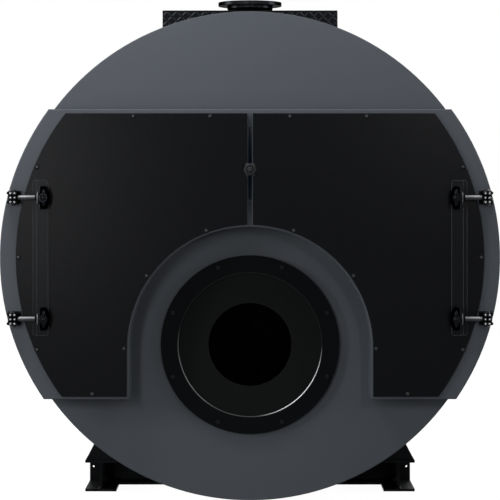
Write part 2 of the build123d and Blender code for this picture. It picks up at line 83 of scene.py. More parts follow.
class Side(Enum):
    """Left and right side of the boiler, seen from the front."""

    LEFT = -1
    RIGHT = 1

    @property
    def word(self) -> str:
        """Name of the side in piece and node names."""
        return self.name.lower()

    @property
    def door(self) -> Body:
        """Body of the door on this side."""
        return Body.LEFT_DOOR if self is Side.LEFT else Body.RIGHT_DOOR

    @property
    def out(self) -> Vector:
        """Direction towards this side."""
        return AXIS_X * self.value


def shade(code: str) -> Color:
    """Turn a colour as the eye names it into the linear colour of a shader.

    Args:
        code: Six hex digits, red first.

    Returns:
        Linear red, green and blue.
    """
    parts = [int(code[i : i + 2], 16) / 255 for i in (0, 2, 4)]
    return tuple(((p + 0.055) / 1.055) ** 2.4 if p > 0.04045 else p / 12.92 for p in parts)


# Node groups and finishes


class Signal:
    """An output in a node tree, with which sums and products can be formed."""

    def __init__(self, sheet: "Sheet", socket: bpy.types.NodeSocket) -> None:
        """Take the socket and the sheet that it is on."""
        self.sheet, self.socket = sheet, socket

    def __add__(self, other: object) -> "Signal":
        """Sum with a signal or a number."""
        return self.sheet.math("ADD", self, other)

    def __sub__(self, other: object) -> "Signal":
        """This less a signal or a number."""
        return self.sheet.math("SUBTRACT", self, other)

    def __rsub__(self, other: float) -> "Signal":
        """A number less this."""
        return self.sheet.math("SUBTRACT", other, self)

    def __mul__(self, other: object) -> "Signal":
        """Product with a signal or a number."""
        return self.sheet.math("MULTIPLY", self, other)

    def __abs__(self) -> "Signal":
        """Distance from 0."""
        return self.sheet.math("ABSOLUTE", self)


Signals = dict[str, Signal]


class Sheet:
    """Places and joins the nodes of one tree."""

    def __init__(self, tree: bpy.types.NodeTree) -> None:
        """Take the tree to work on."""
        self.tree = tree

    def feed(self, socket: bpy.types.NodeSocket, value: object) -> None:
        """Join a socket to a signal, or give it a plain value.

        Args:
            socket: The input to fill.
            value: A signal, a number, a vector or a colour.
        """
        if isinstance(value, Signal):
            self.tree.links.new(value.socket, socket)
        else:
            socket.default_value = (*value, 1.0) if socket.type == "RGBA" else value

    def add(self, kind: str, inputs: Inputs | None = None, **settings: object) -> bpy.types.Node:
        """Add a node and fill its inputs.

        Args:
            kind: Blender's name for the node type.
            inputs: Signals and plain values, by the name or the place of the input.
            **settings: Attributes to set on the node.

        Returns:
            The new node.
        """
        node = self.tree.nodes.new(kind)
        for key, value in settings.items():
            setattr(node, key, value)
        for key, value in (inputs or {}).items():
            self.feed(node.inputs[key], value)
        return node

    def run(
        self, kind: str, inputs: Inputs | None = None, output: str | int = 0, **settings: object
    ) -> Signal:
        """Add a node and hand out the output with a name or at a place."""
        return Signal(self, self.add(kind, inputs, **settings).outputs[output])

    def math(self, operation: str, *values: object, clamp: bool = False) -> Signal:
        """Reckon with signals or numbers, and keep the result between 0 and 1 where clamp says so."""
        return self.run("ShaderNodeMath", dict(enumerate(values)), operation=operation, use_clamp=clamp)

    def noise(self, place: Signal, scale: object, detail: float = 2.0, roughness: float = 0.5) -> Signal:
        """Cloudy noise at a place, about 0.25 to 0.75."""
        inputs = {"Vector": place, "Scale": scale, "Detail": detail, "Roughness": roughness}
        return self.run("ShaderNodeTexNoise", inputs)

    def remap(
        self, value: Signal, low: float, high: float, to_low: object = 0.0, to_high: object = 1.0
    ) -> Signal:
        """Map the range from low to high to a new range, and keep inside it."""
        inputs = {"Value": value, "From Min": low, "From Max": high, "To Min": to_low, "To Max": to_high}
        return self.run("ShaderNodeMapRange", inputs)

    def blend(self, amount: Signal, first: object, second: object) -> Signal:
        """Mix two colours, where an amount of 0 gives the first and 1 the second."""
        inputs = {0: amount, 6: first, 7: second}  # places of a Mix node's factor and its two colours
        return self.run("ShaderNodeMix", inputs, 2, data_type="RGBA")

    def tint(self, color: Signal, factor: Signal) -> Signal:
        """Make a colour lighter or darker by a factor."""
        return self.run("ShaderNodeVectorMath", {0: color, "Scale": factor}, operation="SCALE")

    def stretch(self, place: Signal, factors: Triple) -> Signal:
        """Scale coordinates by a factor for each axis."""
        return self.run("ShaderNodeVectorMath", {0: place, 1: factors}, operation="MULTIPLY")

    def place(self) -> Signal:
        """Coordinates in the object's own space, in metres."""
        return self.run("ShaderNodeTexCoord", output="Object")

    def normal(self) -> Signal:
        """The surface's normal."""
        return self.run("ShaderNodeNewGeometry", output="Normal")

    def part(self, vector: Signal, axis: str) -> Signal:
        """One part, X, Y or Z, of a vector."""
        return self.run("ShaderNodeSeparateXYZ", {0: vector}, axis)

    def bump(self, height: Signal, depth: float, normal: Signal | None = None) -> Signal:
        """Turn a height, with its depth in metres, into a normal, from another normal where one is given."""
        base = {} if normal is None else {"Normal": normal}
        return self.run("ShaderNodeBump", {"Height": height, "Distance": depth, **base})

    def seen(self) -> Signal:
        """Tell the rays that show the background as it is from the others.

        Returns:
            1 for such rays, otherwise 0.
        """
        kinds = ("Camera", "Glossy", "Transmission")
        rays = [self.run("ShaderNodeLightPath", output=f"Is {kind} Ray") for kind in kinds]
        return self.math("MAXIMUM", self.math("MAXIMUM", *rays[:2]), rays[2])


@dataclass(frozen=True)
class Effect:
    """A surface effect that several finishes share, kept as one shader node group."""

    name: str
    inputs: tuple[str, ...]
    outputs: tuple[str, ...]
    draw: Callable[[Sheet, Signals], Signals]

    def tree(self) -> bpy.types.NodeTree:
        """Build the group the first time, and hand out the same one afterwards.

        Returns:
            The node group.
        """
        found = bpy.data.node_groups.get(self.name)
        if found:
            return found
        tree = bpy.data.node_groups.new(self.name, "ShaderNodeTree")
        for way, names in (("INPUT", self.inputs), ("OUTPUT", self.outputs)):
            for name in names:
                kind = "Color" if "Color" in name else "Vector" if name == "Normal" else "Float"
                tree.interface.new_socket(name=name, in_out=way, socket_type=f"NodeSocket{kind}")
        sheet = Sheet(tree)
        entry = sheet.add("NodeGroupInput")
        given = {name: Signal(sheet, entry.outputs[name]) for name in self.inputs}
        sheet.add("NodeGroupOutput", self.draw(sheet, given))
        return tree

    def use(self, sheet: Sheet, **values: object) -> Signals:
        """Place the group in a material.

        Args:
            sheet: The material's sheet.
            **values: The group's inputs by name, with _ for a space.

        Returns:
            The group's outputs by name.
        """
        inputs = {key.replace("_", " "): value for key, value in values.items()}
        node = sheet.add("ShaderNodeGroup", inputs, node_tree=self.tree())
        return {name: Signal(sheet, node.outputs[name]) for name in self.outputs}


def draw_mottle(sheet: Sheet, given: Signals) -> Signals:
    """Draw the slow changes of tone and gloss in a sprayed coat.

    Args:
        sheet: The group's sheet.
        given: The group's inputs.

    Returns:
        The group's outputs.
    """
    place = sheet.place()
    cloud = sheet.noise(place, given["Scale"], 4.0, 0.55)
    fine = sheet.noise(place, given["Scale"] * 23.0)
    swing = (cloud * 0.75 + fine * 0.25 - 0.5) * 4.0
    gloss = (fine - 0.5) * given["Gloss Spread"]
    return {
        "Color": sheet.tint(given["Color"], swing * given["Spread"] + 1.0),
        "Roughness": sheet.math("ADD", given["Roughness"], gloss, clamp=True),
    }


def draw_peel(sheet: Sheet, given: Signals) -> Signals:
    """Draw the orange peel of a sprayed coat.

    Args:
        sheet: The group's sheet.
        given: The group's inputs.

    Returns:
        The group's outputs.
    """
    place = sheet.place()
    fine = sheet.noise(place, given["Scale"], 1.0)
    broad = sheet.noise(place, given["Scale"] * 0.22, 1.0)
    return {"Height": fine + broad * 1.6}


def draw_edges(sheet: Sheet, given: Signals) -> Signals:
    """Draw rounded edges, rubbed through where hands and tools reach them; on the hinge plate the same mask paints
    light edge highlights.

    Args:
        sheet: The group's sheet.
        given: The group's inputs.

    Returns:
        The group's outputs.
    """
    rounded = sheet.run("ShaderNodeBevel", {"Radius": given["Radius"]}, samples=6)
    match = sheet.run(
        "ShaderNodeVectorMath", {0: sheet.normal(), 1: rounded}, "Value", operation="DOT_PRODUCT"
    )
    breakup = sheet.remap(sheet.noise(sheet.place(), 34.0, 4.0, 0.7), 0.42, 0.62)
    # edge mask: rubbed wear, and painted edge highlights where a finish sets it high with a light colour
    mask = sheet.math("MULTIPLY", sheet.remap(match, 0.97, 0.80) * breakup, given["Wear"], clamp=True)
    return {"Color": sheet.blend(mask, given["Color"], given["Worn Color"]), "Normal": rounded}


def draw_dust(sheet: Sheet, given: Signals) -> Signals:
    """Draw fine dust on faces that look up.

    Args:
        sheet: The group's sheet.
        given: The group's inputs.

    Returns:
        The group's outputs.
    """
    upward = sheet.remap(sheet.part(sheet.normal(), "Z"), 0.25, 0.95)
    cloud = sheet.remap(sheet.noise(sheet.place(), given["Scale"], 5.0, 0.6), 0.35, 0.7)
    mask = sheet.math("MULTIPLY", upward * cloud, given["Amount"], clamp=True)
    return {"Color": sheet.blend(mask, given["Color"], given["Dust Color"])}


def draw_brushing(sheet: Sheet, given: Signals) -> Signals:
    """Draw the fine lines of turned or drawn steel.

    Args:
        sheet: The group's sheet.
        given: The group's inputs.

    Returns:
        The group's outputs.
    """
    lines = sheet.noise(sheet.stretch(sheet.place(), (0.06, 1.0, 1.0)), given["Scale"], 3.0, 0.65)
    factor = sheet.remap(lines, 0.3, 0.7, 1.0 - given["Spread"], 1.0)
    return {"Color": sheet.tint(given["Color"], factor), "Height": lines}


def draw_scale(sheet: Sheet, given: Signals) -> Signals:
    """Draw mill scale, light rust and soot on steel that meets flue gas.

    Args:
        sheet: The group's sheet.
        given: The group's inputs.

    Returns:
        The group's outputs.
    """
    place = sheet.place()
    patches = sheet.remap(sheet.noise(place, given["Scale"], 6.0, 0.65), 0.42, 0.62)
    grit = sheet.noise(place, given["Scale"] * 14.0, 4.0, 0.7)
    smoke = sheet.remap(sheet.noise(place, 1.9, 3.0), 0.35, 0.65)
    rusty = sheet.blend(patches, given["Color"], given["Rust Color"])
    sooty = sheet.blend(smoke * given["Soot"], rusty, given["Soot Color"])
    return {
        "Color": sheet.tint(sooty, sheet.remap(grit, 0.25, 0.75, 0.75, 1.2)),
        "Roughness": sheet.remap(patches, 0.0, 1.0, 0.5, 0.85),
        "Height": grit + patches * 0.6,
    }


def draw_fibre(sheet: Sheet, given: Signals) -> Signals:
    """Draw pressed fibre board with its pits and its browned skin.

    Args:
        sheet: The group's sheet.
        given: The group's inputs.

    Returns:
        The group's outputs.
    """
    place = sheet.place()
    fibres = sheet.noise(sheet.stretch(place, (1.0, 1.0, 0.3)), given["Scale"], 5.0, 0.75)
    cells = {"Vector": place, "Scale": given["Scale"] * 0.35}
    pit = sheet.remap(sheet.run("ShaderNodeTexVoronoi", cells, "Distance"), 0.05, 0.3)
    brown = sheet.remap(sheet.noise(place, 3.1, 4.0, 0.6), 0.35, 0.7)
    color = sheet.blend(brown * 0.6, given["Color"], given["Brown Color"])
    return {
        "Color": sheet.tint(color, sheet.remap(pit, 0.0, 1.0, 0.7, 1.05)),
        "Height": fibres * 0.5 + pit,
    }


MOTTLE = Effect(
    "coat_mottle", ("Color", "Scale", "Spread", "Roughness", "Gloss Spread"), ("Color", "Roughness"),
    draw_mottle,
)
PEEL = Effect("orange_peel", ("Scale",), ("Height",), draw_peel)
EDGES = Effect("rubbed_and_highlit_edges", ("Color", "Worn Color", "Radius", "Wear"), ("Color", "Normal"), draw_edges)
DUST = Effect("settled_dust", ("Color", "Dust Color", "Amount", "Scale"), ("Color",), draw_dust)
BRUSHING = Effect("steel_lines", ("Color", "Scale", "Spread"), ("Color", "Height"), draw_brushing)
SCALE = Effect(
    "fired_scale", ("Color", "Rust Color", "Soot Color", "Scale", "Soot"),
    ("Color", "Roughness", "Height"), draw_scale,
)
FIBRE = Effect("fibre_board", ("Color", "Brown Color", "Scale"), ("Color", "Height"), draw_fibre)


class Finish:
    """A finish that makes its material once and hands out the same one afterwards."""

    name: str

    def material(self) -> bpy.types.Material:
        """Build the material the first time.

        Returns:
            The material.
        """
        found = bpy.data.materials.get(self.name)
        if found:
            return found
        made = bpy.data.materials.new(self.name)
        made.use_nodes = True
        made.node_tree.nodes.clear()
        sheet = Sheet(made.node_tree)
        shader = sheet.run("ShaderNodeBsdfPrincipled", self.lay(sheet))
        sheet.add("ShaderNodeOutputMaterial", {"Surface": shader})
        return made

    def lay(self, sheet: Sheet) -> Inputs:
        """Draw the finish on a material's sheet and hand out the shader's inputs by name."""
        raise NotImplementedError


@dataclass(frozen=True)
class SprayedPaint(Finish):
    """Sprayed and stoved paint with a fine peel, rounded edges and a little dust."""

    name: str
    color: Color
    roughness: float
    specular: float
    metallic: float = 0.0
    spread: float = 0.02
    gloss_spread: float = 0.10
    mottle_scale: float = 1.7
    peel_scale: float = 420.0
    peel_depth: float = 0.00006
    edge_radius: float = 0.0015
    wear: float = 0.15
    worn_and_highlight: Color = shade("7c7e80")
    dust: float = 0.0
    dust_color: Color = shade("8f8c86")
    dust_scale: float = 5.0
    edge_tint: Color = (1.0, 1.0, 1.0)

    def lay(self, sheet: Sheet) -> Inputs:
        """Draw mottle, dust, rubbed edges and peel; on the hinge plate the rubbed edges are painted edge
        highlights.

        Args:
            sheet: The material's sheet.

        Returns:
            The shader's inputs by name.
        """
        coat = MOTTLE.use(
            sheet, Color=self.color, Scale=self.mottle_scale, Spread=self.spread,
            Roughness=self.roughness, Gloss_Spread=self.gloss_spread,
        )
        dusty = DUST.use(
            sheet, Color=coat["Color"], Dust_Color=self.dust_color, Amount=self.dust, Scale=self.dust_scale
        )
        edged = EDGES.use(
            sheet, Color=dusty["Color"], Worn_Color=self.worn_and_highlight, Radius=self.edge_radius, Wear=self.wear
        )
        peel = PEEL.use(sheet, Scale=self.peel_scale)
        return {
            "Base Color": edged["Color"],
            "Roughness": coat["Roughness"],
            "Metallic": self.metallic,
            "Specular IOR Level": self.specular,
            "Specular Tint": self.edge_tint,
            "Normal": sheet.bump(peel["Height"], self.peel_depth, edged["Normal"]),
        }


@dataclass(frozen=True)
class WorkedSteel(Finish):
    """Turned, drawn or blackened steel with fine tool lines."""

    name: str
    color: Color
    roughness: float
    metallic: float = 1.0
    specular: float = 0.5
    line_scale: float = 260.0
    line_spread: float = 0.25
    line_depth: float = 0.00004
    mottle_scale: float = 9.0
    spread: float = 0.04
    gloss_spread: float = 0.12
    edge_radius: float = 0.0012
    wear: float = 0.3
    worn_and_highlight: Color = shade("a4a6a8")

    def lay(self, sheet: Sheet) -> Inputs:
        """Draw tool lines, uneven gloss and rubbed edges.

        Args:
            sheet: The material's sheet.

        Returns:
            The shader's inputs by name.
        """
        lines = BRUSHING.use(sheet, Color=self.color, Scale=self.line_scale, Spread=self.line_spread)
        coat = MOTTLE.use(
            sheet, Color=lines["Color"], Scale=self.mottle_scale, Spread=self.spread,
            Roughness=self.roughness, Gloss_Spread=self.gloss_spread,
        )
        edged = EDGES.use(
            sheet, Color=coat["Color"], Worn_Color=self.worn_and_highlight, Radius=self.edge_radius, Wear=self.wear
        )
        return {
            "Base Color": edged["Color"],
            "Roughness": coat["Roughness"],
            "Metallic": self.metallic,
            "Specular IOR Level": self.specular,
            "Normal": sheet.bump(lines["Height"], self.line_depth, edged["Normal"]),
        }


@dataclass(frozen=True)
class FiredSteel(Finish):
    """Steel plate and tubes inside the flue gas passes."""

    name: str
    color: Color = shade("5a5552")
    rust: Color = shade("6b4a36")
    soot_color: Color = shade("1c1a19")
    scale: float = 6.0
    soot: float = 0.55
    metallic: float = 0.25
    specular: float = 0.3
    depth: float = 0.0006

    def lay(self, sheet: Sheet) -> Inputs:
        """Draw scale, rust and soot.

        Args:
            sheet: The material's sheet.

        Returns:
            The shader's inputs by name.
        """
        fired = SCALE.use(
            sheet, Color=self.color, Rust_Color=self.rust, Soot_Color=self.soot_color, Scale=self.scale,
            Soot=self.soot,
        )
        return {
            "Base Color": fired["Color"],
            "Roughness": fired["Roughness"],
            "Metallic": self.metallic,
            "Specular IOR Level": self.specular,
            "Normal": sheet.bump(fired["Height"], self.depth),
        }


@dataclass(frozen=True)
class FibreBoard(Finish):
    """Heat-proof fibre board, castable or rope."""

    name: str
    color: Color
    brown: Color
    scale: float = 90.0
    depth: float = 0.0012
    roughness: float = 0.92
    specular: float = 0.1

    def lay(self, sheet: Sheet) -> Inputs:
        """Draw the board.

        Args:
            sheet: The material's sheet.

        Returns:
            The shader's inputs by name.
        """
        board = FIBRE.use(sheet, Color=self.color, Brown_Color=self.brown, Scale=self.scale)
        return {
            "Base Color": board["Color"],
            "Roughness": self.roughness,
            "Specular IOR Level": self.specular,
            "Normal": sheet.bump(board["Height"], self.depth),
        }


@dataclass(frozen=True)
class RodSteel(Finish):
    """Polished rods with painted shade on their undersides, in black painted eyes and nuts, told apart by the
    radius.
    """

    name: str
    place_y: float
    levels: Point
    rod_radius: float = 0.0128
    paint: Color = shade("08090a")
    steel: Color = shade("b4b6b9")
    underside_shade: Color = shade("45474a")
    shade_reach: float = 0.55
    roughness: float = 0.15
    steel_rise: float = 0.1
    specular: float = 0.06
    edge_tint: Color = (0.1, 0.1, 0.1)
    line_depth: float = 0.00003

    def lay(self, sheet: Sheet) -> Inputs:
        """Draw paint and steel, split at the rods' radius, with painted shade darkening the steel's undersides.

        Args:
            sheet: The material's sheet.

        Returns:
            The shader's inputs by name.
        """
        place = sheet.place()
        depth, level = sheet.part(place, "Y") - self.place_y, sheet.part(place, "Z")
        height = sheet.math("MINIMUM", *(abs(level - z) for z in self.levels))
        mask = sheet.math("LESS_THAN", depth * depth + height * height, self.rod_radius**2)
        lines = BRUSHING.use(sheet, Color=self.steel, Scale=260.0, Spread=0.3)
        coat = MOTTLE.use(
            sheet, Color=self.paint, Scale=9.0, Spread=0.03, Roughness=self.roughness, Gloss_Spread=0.03
        )
        # painted shade: the rods' steel darkens on faces that look down and stays bright on faces that look up
        lit_share = sheet.remap(sheet.part(sheet.normal(), "Z"), 0.0, self.shade_reach)
        rods = sheet.blend(lit_share, self.underside_shade, lines["Color"])
        bright = mask * self.steel_rise
        return {
            "Base Color": sheet.blend(mask, coat["Color"], rods),
            "Roughness": coat["Roughness"] + bright,
            "Metallic": bright,
            "Specular IOR Level": self.specular,
            "Specular Tint": self.edge_tint,
            "Normal": sheet.bump(lines["Height"], self.line_depth),
        }


@dataclass(frozen=True)
class PaintedSlotShade(Finish):
    """Grey paint with painted shade, darkest and bluish at a level and fading out above and below it."""

    name: str
    level: float
    dark: Color = shade("161d27")
    pale: Color = shade("494d53")
    reach: float = 0.26
    fade: float = 3.0
    roughness: float = 0.6
    specular: float = 0.01

    def lay(self, sheet: Sheet) -> Inputs:
        """Draw the painted shade by the distance from the level.

        Args:
            sheet: The material's sheet.

        Returns:
            The shader's inputs by name.
        """
        # painted shade, deepest at the level
        far = abs(sheet.part(sheet.place(), "Z") - self.level)
        part = sheet.math("POWER", sheet.remap(far, 0.0, self.reach), self.fade)
        return {
            "Base Color": sheet.blend(part, self.dark, self.pale),
            "Roughness": self.roughness,
            "Specular IOR Level": self.specular,
        }


@dataclass(frozen=True)
class LipPaintedHighlight(Finish):
    """Black painted lip with a painted highlight of bright steel, strongest low down at the right and faint at the
    left.
    """

    name: str
    level: float
    reach: float
    paint: Color = shade("0b0c0d")
    steel: Color = shade("c4c6c8")
    roughness: float = 0.3
    specular: float = 0.03
    line_depth: float = 0.00003

    def lay(self, sheet: Sheet) -> Inputs:
        """Draw paint and the painted highlight of bright steel, strongest low down at the right and fainter at the
        left.

        Args:
            sheet: The material's sheet.

        Returns:
            The shader's inputs by name.
        """
        place = sheet.place()
        across = sheet.part(place, "X") * (1 / self.reach)
        down = (self.level - sheet.part(place, "Z")) * (1 / self.reach)
        # painted highlight: strong low at the right, weak at the left, and a faint band low down
        strong = sheet.remap(across * 0.72 + down * 0.69, 0.72, 0.99)
        weak = sheet.remap(across * -0.87 + down * 0.50, 0.70, 1.0, 0.0, 0.35)
        low = sheet.remap(down, 0.35, 1.0, 0.03, 0.16)
        mask = sheet.math("MAXIMUM", sheet.math("MAXIMUM", strong, weak), low)
        lines = BRUSHING.use(sheet, Color=self.steel, Scale=180.0, Spread=0.2)
        return {
            "Base Color": sheet.blend(mask, self.paint, lines["Color"]),
            "Roughness": self.roughness,
            "Metallic": mask,
            "Specular IOR Level": self.specular,
            "Normal": sheet.bump(lines["Height"], self.line_depth),
        }


@dataclass(frozen=True)
class PaleFloor(Finish):
    """Pale floor, white to the camera where no shadow lies on it."""

    name: str = "pale_floor"
    grey: Color = (0.2, 0.2, 0.2)
    near: float = 3.5
    far: float = 8.0
    near_glow: float = 0.96

    def lay(self, sheet: Sheet) -> Inputs:
        """Draw the floor, whose glow only the background's rays see.

        Args:
            sheet: The material's sheet.

        Returns:
            The shader's inputs by name.
        """
        reach = sheet.run("ShaderNodeVectorMath", {0: sheet.place()}, "Value", operation="LENGTH")
        glow = sheet.remap(reach, self.near, self.far, self.near_glow, 1.0)
        return {
            "Base Color": self.grey,
            "Roughness": 1.0,
            "Specular IOR Level": 0.0,
            "Emission Color": (1.0, 1.0, 1.0),
            "Emission Strength": sheet.seen() * glow,
        }


BODY_GREY = SprayedPaint("body_grey_paint", shade("565a60"), 0.5, 0.06, edge_radius=0.003, dust=0.02)
JACKET_GREY = SprayedPaint("jacket_grey_paint", shade("585c62"), 0.45, 0.10, edge_radius=0.0012, dust=0.03)
KNOB_GREY = SprayedPaint("knob_grey_paint", shade("2c2e31"), 0.3, 0.09, wear=0.1, gloss_spread=0.04)
DOOR_BLACK = SprayedPaint(
    "door_black_paint", shade("07080b"), 0.28, 0.05, spread=0.03, gloss_spread=0.05, wear=0.06,
    worn_and_highlight=shade("3a3b3d"),
)
HINGE_BLACK = SprayedPaint(
    "hinge_black_steel", shade("101113"), 0.17, 0.5, metallic=1.0, gloss_spread=0.03,
    worn_and_highlight=shade("3c3e42"), edge_tint=(0.1, 0.1, 0.1),
)
# lighter paint on the hinge plate's edge beads: painted edge highlights
EDGE_PAINTED_HIGHLIGHT = SprayedPaint("plate_edge_painted_highlight", shade("34363a"), 0.3, 0.15, gloss_spread=0.04, wear=0.0)
# painted highlight: the hinge plate's wide light worn edges stand in for light catching its edges
HINGE_PLATE = SprayedPaint(
    "hinge_plate_paint", shade("0c0e11"), 0.28, 0.055, gloss_spread=0.05, edge_radius=0.002, wear=0.7,
    worn_and_highlight=shade("4a4c50"),
)
BASE_BLACK = SprayedPaint("base_black_paint", shade("151618"), 0.45, 0.03, wear=0.1)
RING_BLACK = SprayedPaint(
    "burner_ring_paint", shade("0d0e10"), 0.5, 0.02, peel_scale=700.0, peel_depth=0.0001, wear=0.03
)
PLATE_BLACK = SprayedPaint(
    "burner_plate_coat", shade("1b1c1c"), 0.85, 0.02, peel_scale=900.0, peel_depth=0.00015, wear=0.03
)
BOLT_BLACK = SprayedPaint(
    "burner_bolt_paint", shade("141517"), 0.35, 0.05, wear=0.1, worn_and_highlight=shade("3a3c3f")
)
NOZZLE_BLACK = SprayedPaint(
    "nozzle_black_steel", shade("191a1c"), 0.26, 0.5, metallic=1.0, gloss_spread=0.04, wear=0.05,
    worn_and_highlight=shade("4a4c50"), edge_tint=(0.03, 0.03, 0.03),
)
TREAD_BLACK = SprayedPaint("tread_paint", shade("0e0f11"), 0.4, 0.04, wear=0.1, worn_and_highlight=shade("4a4d50"))
TREAD_RAISED = SprayedPaint(
    "tread_lug_steel", shade("222427"), 0.27, 0.5, metallic=1.0, gloss_spread=0.05, edge_radius=0.0001,
    wear=0.0, edge_tint=(0.05, 0.05, 0.05),
)
SCREW_STEEL = SprayedPaint("screw_grey_steel", shade("26282b"), 0.2, 0.2, gloss_spread=0.04, wear=0.3)
DARK_STEEL = WorkedSteel(
    "dark_polished_steel", shade("17181a"), 0.16, metallic=0.6, specular=0.3, worn_and_highlight=shade("6d6f72")
)
BRIGHT_STEEL = WorkedSteel("bright_turned_steel", shade("8a8c8f"), 0.28)
# bright bolt heads: their bright steel is a painted highlight for the glints on the glossy hinge pins
BOLT_PAINTED_HIGHLIGHT = WorkedSteel("bolt_head_painted_highlight", shade("8a8c8f"), 0.22)
COLLAR_STEEL = WorkedSteel("rod_collar_steel", shade("8d8f92"), 0.3, metallic=0.1, specular=0.06)
INNER_STEEL = FiredSteel("flue_side_steel")
CASTABLE = FibreBoard("throat_castable", shade("232324"), shade("131313"), 60.0)
DOOR_FIBRE = FibreBoard("door_fibre_board", shade("c9bda6"), shade("8d7357"))
GASKET = FibreBoard("gasket_rope_fibre", shade("3a3835"), shade("201e1c"), 240.0, 0.0008)


# Where things are


class Layout:
    """Main faces, axes and sizes of the boiler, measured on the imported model."""

    arch: float = 0.630
    ring_bore: float = 0.3805
    panel_gap: float = 0.010
    strip_rise: float = 0.009
    eye_shape: float = 2 * 16 / 56

    def __init__(self) -> None:
        """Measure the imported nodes."""
        wall, ring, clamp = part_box("front_wall"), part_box("burner_ring"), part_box("centre_clamp")
        panel, housing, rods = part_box("right_door_panel"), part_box("door_housing"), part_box("right_hinge_rods")
        deck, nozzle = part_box("walkway_deck"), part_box("flow_nozzle")
        joints = frame["record"]["behaviour"]["joints"]
        hinge = next(joint for joint in joints if joint["child"] == Body.RIGHT_DOOR.value)
        self.pin_x, self.pin_y = hinge["pos_m"][:2]
        self.axis, self.burner_axis, self.clamp_level = (
            (low.z + high.z) / 2 for low, high in (wall, ring, clamp)
        )
        self.radius = (wall[1].x - wall[0].x) / 2
        self.front, self.plate = wall[0].y, wall[1].y
        self.rear_plate, self.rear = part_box("rear_wall")[0].y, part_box("rear_wall")[1].y
        self.frame_face, self.ring_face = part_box("door_frame")[0].y, ring[0].y
        self.panel_face, self.panel_back = panel[0].y, panel[1].y
        self.panel_bottom, self.panel_top = panel[0].z, panel[1].z
        self.panel_edge, self.panel_radius = panel[0].x, panel[1].x
        self.panel_arch = self.arch + self.panel_gap
        self.strip_face = self.panel_face - self.strip_rise
        self.lining_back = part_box("right_door_lining")[1].y
        self.housing_bottom, self.housing_top = housing[0].z, housing[1].z
        self.eye_radius = rods[1].x - self.pin_x
        eye_half = self.eye_radius * self.eye_shape
        self.pin_levels = (rods[0].z + eye_half, rods[1].z - eye_half)
        self.ear_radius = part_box("right_hinge_brackets")[1].x - self.pin_x
        self.deck_x, self.deck_top = deck[1].x, deck[1].z
        self.deck_front, self.deck_back = deck[0].y, deck[1].y
        self.nozzle_y, self.nozzle_top = (nozzle[0].y + nozzle[1].y) / 2, nozzle[1].z
        self.nozzle_radius = nozzle[1].x
        self.beam_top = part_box("base_beam_left")[1].z


LAYOUT = Layout()
# painted shade on the post, its strips and plates: darkest at the clamp's level
POST_PAINTED_SHADE = PaintedSlotShade("post_painted_shade", LAYOUT.clamp_level)
ROD_STEEL = RodSteel("hinge_rod_steel", LAYOUT.pin_y, LAYOUT.pin_levels)
# painted highlight on the burner ring's lip
LIP_PAINTED_HIGHLIGHT = LipPaintedHighlight("lip_painted_highlight", LAYOUT.burner_axis, LAYOUT.ring_bore)


# Shapes


def around(middle: Point, radius: float, angles: Iterable[float]) -> list[Point]:
    """Points on a circle at the given angles."""
    return [(middle[0] + radius * cos(a), middle[1] + radius * sin(a)) for a in angles]


def arc_points(centre: Point, radius: float, start: float, end: float, step: float) -> list[Point]:
    """Points along an arc in the plane across the boiler.

    Args:
        centre: X and Z of its centre.
        radius: Its radius.
        start: First angle, from +X towards +Z.
        end: Last angle.
        step: Longest distance between points.

    Returns:
        The points, both ends included.
    """
    count = max(2, ceil(abs(end - start) * radius / step))
    return around(centre, radius, [start + (end - start) * i / count for i in range(count + 1)])


def upright(line: Iterable[Point], y: float) -> list[Vector]:
    """Stand a line of X and Z at one place along the boiler."""
    return [Vector((x, y, z)) for x, z in line]


def hoop(centre: Point, radius: float, y: float, step: float) -> list[Vector]:
    """Full circle across the boiler, without its first point again."""
    return upright(arc_points(centre, radius, 0, tau, step)[:-1], y)


def circle(radius: float, sides: int, middle: Point = (0.0, 0.0)) -> list[Point]:
    """Corners of a round section about its middle."""
    return around(middle, radius, [tau * i / sides for i in range(sides)])


def spokes(axis: Vector, steps: int) -> list[Vector]:
    """Directions at even angles round an axis.

    Args:
        axis: The axis.
        steps: How many.

    Returns:
        The directions.
    """
    across = axis.orthogonal().normalized()
    other = axis.cross(across)
    return [across * u + other * v for u, v in circle(1.0, steps)]


def spaced(points: Sequence[Vector], step: float, closed: bool = False) -> list[Vector]:
    """Put points at even steps along a line of points.

    Args:
        points: The line's corners.
        step: Longest distance between new points.
        closed: The line returns to its start.

    Returns:
        The new points.
    """
    corners = list(points) + ([points[0]] if closed else [])
    found = []
    for first, second in zip(corners, corners[1:]):
        count = max(1, ceil((second - first).length / step))
        found += [first.lerp(second, i / count) for i in range(count)]
    return found if closed else [*found, corners[-1]]


def flank(radius: float, top: float, bottom: float, step: float) -> list[Point]:
    """Arc about the body's axis, from one level down to another on the right side."""
    high, low = (asin((level - LAYOUT.axis) / radius) for level in (top, bottom))
    return arc_points((0, LAYOUT.axis), radius, high, low, step)


def door_outline(side: Side, inset: float, step: float) -> list[Point]:
    """Outline of one door panel, drawn in from its edges.

    Args:
        side: Which door.
        inset: How far the line lies inside the panel's edge.
        step: Longest distance between points on its arcs.

    Returns:
        X and Z of its points, from the top inner corner outwards.
    """
    at = LAYOUT
    top, bottom, inner = at.panel_top - inset, at.panel_bottom + inset, at.panel_edge + inset
    arch = at.panel_arch + inset
    outer = flank(at.panel_radius - inset, top, bottom, step)
    round_arch = arc_points((0, at.burner_axis), arch, 0.0, acos(inner / arch), step)
    return [(side.value * x, z) for x, z in [(inner, top), *outer, (arch, bottom), *round_arch]]


